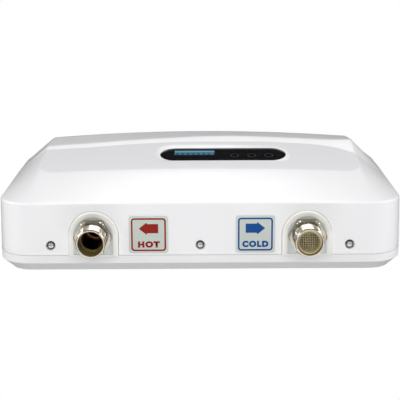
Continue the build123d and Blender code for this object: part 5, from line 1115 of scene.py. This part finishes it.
def weave(name, x):
    """Two sets of wires in one mesh: arrays of (set, wire, step along, turn round)."""
    number = np.arange(-5, 6)
    offset = number * WIRE_PITCH
    reach = np.sqrt(MESH_RADIUS ** 2 - offset ** 2)
    step = np.linspace(-1, 1, 121)
    turn = full_turn(6)
    along = reach[:, None] * step
    across = offset[:, None]
    dome = MESH_DOME * ((along ** 2 + across ** 2) / MESH_RADIUS ** 2 - 1)
    wave = np.cos(np.pi * (along / WIRE_PITCH + number[:, None]))
    clouds = []
    for side in (-1, 1):
        up = MESH_UP - dome + side * WIRE_RADIUS * wave
        a, b = along[..., None], across[..., None] + WIRE_RADIUS * np.cos(turn)
        pair = (a, b) if side < 0 else (b, a)
        up = up[..., None] + WIRE_RADIUS * np.sin(turn)
        clouds.append(world(x + pair[0], PIPE_OUT + pair[1], up))
    cap = np.array(((0, 1, 2, 3), (0, 3, 4, 5)))
    size = len(step) * len(turn)
    wire = np.concatenate([grid_quads(len(step), len(turn), False, True), cap,
                           size - len(turn) + cap])
    faces = size * np.arange(2 * len(number))[:, None, None] + wire
    return make_piece(name, np.array(clouds), faces.reshape(-1, 4), 60.0)


# %% Pleated skirt and ring
PLEATS = 30
PLEAT_DEPTH = 0.42
SKIRT_RADIUS = 7.15         # at the mouth of the ring
SKIRT_TAPER = 0.4
SKIRT_WALL = 0.15


def pleated_skirt(name, x):
    """Thin closed cone from the ring's mouth to the disc, its radius a cosine of the turn."""
    turn = full_turn(PLEATS * 12)
    share = np.concatenate([np.linspace(0, 1, 9), np.linspace(1, 0, 9)])[:, None]
    wall = np.repeat((0.0, SKIRT_WALL), 9)[:, None]
    fold = PLEAT_DEPTH * np.cos(PLEATS * turn) * (0.25 + 0.75 * share)
    radius = SKIRT_RADIUS + wall - SKIRT_TAPER * share + fold / 2
    up = RING_FRONT_UP + 0.2 + share * (MESH_UP - RING_FRONT_UP)
    return make_rings(name, round_axis((x, PIPE_OUT), radius, turn, up), 50.0)


dress(weave("filter_weave", PIPE_X), "filter", "bronze", "filter_mesh")
dress(pleated_skirt("filter_skirt", PIPE_X), "filter", "bronze")
ring_profile = [(8.7, RING_TOP_UP), (8.7, -17.8), (8.55, RING_FRONT_UP),
                (8.1, RING_FRONT_UP - 0.2), (7.7, RING_FRONT_UP), (7.6, -17.7), (7.6, RING_TOP_UP)]
rolled_ring = revolve("filter_rolled_ring", ring_profile, (PIPE_X, PIPE_OUT), 96)
dress(rolled_ring, "filter", "bronze", "filter_ring")

# %% Touch marks
WINDOW_DEPTH = 1.7          # the window's face lies this far under the console
MARK_RADIUS = 3.2
MARK_LINE = 0.35
MARK_LIFTS = (0.02, 0.06)   # foot and top of the ink over the window


def touch_mark(name, x):
    """Thin printed ring on the window, for one of the three touch keys behind it."""
    turn = full_turn(48)
    low, high = MARK_LIFTS
    inner = MARK_RADIUS - MARK_LINE
    rings = []
    for size, lift in ((MARK_RADIUS, low), (MARK_RADIUS, high), (inner, high), (inner, low)):
        uphill = size * np.sin(turn) * CONSOLE_COS
        base = window_plane(WINDOW_UP + uphill, WINDOW_DEPTH - lift)
        rings.append(world(x + size * np.cos(turn), base, WINDOW_UP + uphill))
    return make_rings(name, rings)


mark_ink = moulded("touch_mark_ink", "#303133", "#2a2b2d", 0.5, 0.3, 0.003)
for index, offset in enumerate((9.0, 22.0, 35.0)):
    mark = touch_mark(f"touch_mark_{index + 1}", WINDOW_X + offset)
    dress(mark, "cover", "smoked_acrylic", material=mark_ink)

# %% [markdown]
# ## Printed labels
#
# The two plates stay as they are in the frame. Their print is a few hundredths of
# a millimetre of ink: a panel, a rounded frame, an arrow that shows the flow and
# the plain word for hot or cold water.

# %% Ink layers on the bottom wall
LABEL_OUT = 28.1
LABEL_THICKNESS = 0.5
INK = 0.03
LIFT = 0.005                # gap between the plate and its first layer of ink
WORD_WIDTHS = {"HOT": 15.5, "COLD": 18.5}
WORD_RISE = -9.0
ARROW = np.array([(6.9, 3.35), (-1.3, 3.35), (-1.3, 4.45), (-6.9, 0),
                  (-1.3, -4.45), (-1.3, -3.35), (6.9, -3.35)])
ARROW_RISE = 4.4
LABELS = {"outlet_label": (-36.5, -1, "HOT", "#8c1a10"),
          "inlet_label": (39.0, 1, "COLD", "#05478c")}


def on_label(x, along, rise, lift):
    """Point on a label: along to the right, rise away from the wall, lift out of its face."""
    out = LABEL_OUT + rise
    return world(x + along, out, lean(out) - LABEL_THICKNESS - lift)


def rounded_frame(half_x, half_rise, radius):
    """Loop of a rounded rectangle: four quarter circles round the corners' centres."""
    centre = np.array([(1, 1), (-1, 1), (-1, -1), (1, -1)]) * (half_x - radius, half_rise - radius)
    turn = np.linspace(0, np.pi / 2, 8) + np.pi / 2 * np.arange(4)[:, None]
    quarters = centre[:, None] + radius * np.stack([np.cos(turn), np.sin(turn)], axis=-1)
    return quarters.reshape(-1, 2)


def ink_patch(name, x, loop, inner, lift, slot, material):
    """Thin closed layer between an outer and an inner loop, which may shrink to a point."""
    levels = ((inner, lift), (loop, lift), (loop, lift + INK), (inner, lift + INK))
    rings = [on_label(x, *ring.T, height) for ring, height in levels]
    dress(make_rings(name, rings, 30.0), "cover", slot, material=material)


def make_print(node, x, side, word, hex_code):
    """Panel, frame, arrow and word of one label."""
    ink = moulded("ink_" + word.lower(), hex_code, hex_code, 0.6, 0.3, 0.004)
    set_shader(ink, {"Specular IOR Level": 0.2})
    panel_ink = moulded("ink_panel_" + word.lower(), "#c2cac3", "#bdc5be", 0.45, 0.3, 0.004)
    slot = "label_red" if side < 0 else "label_blue"
    panel = rounded_frame(10.6, 10.3, 0.6)
    ink_patch(node + "_panel", x, panel, panel * 0, LIFT, slot, panel_ink)
    outer, inner = rounded_frame(12.35, 12.05, 2.3), rounded_frame(11.15, 10.85, 1.2)
    ink_patch(node + "_frame", x, outer, inner, LIFT, slot, ink)
    arrow = ARROW * (-side, 1) + (0, ARROW_RISE)
    centre = np.array([0.0, ARROW_RISE]) + 0 * arrow
    ink_patch(node + "_arrow", x, arrow, centre, LIFT + INK, slot, ink)
    text = bpy.data.curves.new(node + "_text", "FONT")
    text.body = word
    text.size = 5.5
    text.offset = 0.42
    text.space_character = 1.25
    text.align_x = "CENTER"
    holder = add_object(node + "_text", text)
    flat = evaluated_mesh(holder)
    bpy.data.objects.remove(holder)
    along, rise, _ = read_vectors(flat.vertices, "co").T
    along = along * (WORD_WIDTHS[word] / np.ptp(along))
    written = on_label(x, along, rise + WORD_RISE, LIFT + 2 * INK)
    flat.vertices.foreach_set("co", written.reshape(-1))
    flat.update()
    dress(add_object(node + "_word", flat), "cover", slot, material=ink)


for node, (x, side, word, hex_code) in LABELS.items():
    make_print(node, x, side, word, hex_code)

# %% [markdown]
# ## Cover screws
#
# A pan-head screw with a cross recess. Its head is a height over two directions: a dome, less a
# cross-shaped pit with sloping walls. The rim of the head is painted dark as the shade of its
# well, and its middle keeps the bright plating.

# %% Screws in their wells
HEAD_RADIUS = 2.85
HEAD_SINK = 0.5
HEAD_DOME = 0.55
CROSS_REACH = 1.75          # from the axis to the end of each arm of the cross
CROSS_HALF_WIDTH = 0.42
CROSS_DEPTH = 0.95
SHANK_RADII = (1.5, 1.25)   # crests and roots of the screw's thread


def make_screw(name, x):
    """Polar grid: domed head with its cross pit, side of the head, then the threaded shank."""
    turn = full_turn(96)
    radius = np.linspace(0, HEAD_RADIUS - 0.25, 26)[:, None]
    a, b = radius * np.cos(turn), radius * np.sin(turn)
    dome = HEAD_SINK + HEAD_DOME * (radius / HEAD_RADIUS) ** 2
    arm = CROSS_REACH - np.maximum(np.abs(a), np.abs(b))
    thin = CROSS_HALF_WIDTH - np.minimum(np.abs(a), np.abs(b))
    pit = np.clip(np.minimum(arm * 1.1, thin * 3.0), 0, CROSS_DEPTH)
    shank = [(HEAD_RADIUS, 1.35), (HEAD_RADIUS, 2.1), (SHANK_RADII[0], 2.1)]
    shank += [(SHANK_RADII[index % 2], 2.3 + 0.35 * index) for index in range(30)]
    shank_radius, shank_up = np.array(shank + [(0.0, 13.0)]).T[..., None]
    radius = np.concatenate([radius, shank_radius])
    up = np.concatenate([dome + pit, shank_up + 0 * turn])
    return make_rings(name, round_axis((x, SCREW_OUT), radius, turn, up), 30.0, closed=False)


def head_rim_shade(x, out, up):
    """Painted shade: one on the outer part of a screw's head, zero in its middle, which stays
    bright.
    """
    off_axis = np.hypot(x - SCREW_X * np.round(x / SCREW_X), out - SCREW_OUT)
    return np.clip((off_axis - 1.5) / 0.5, 0, 1)


for index in range(3):
    screw = make_screw(f"cover_screw_{index + 1}", (index - 1) * SCREW_X)
    dress(paint(screw, "head_shade", head_rim_shade), "cover", "zinc_steel", "cover_screws")
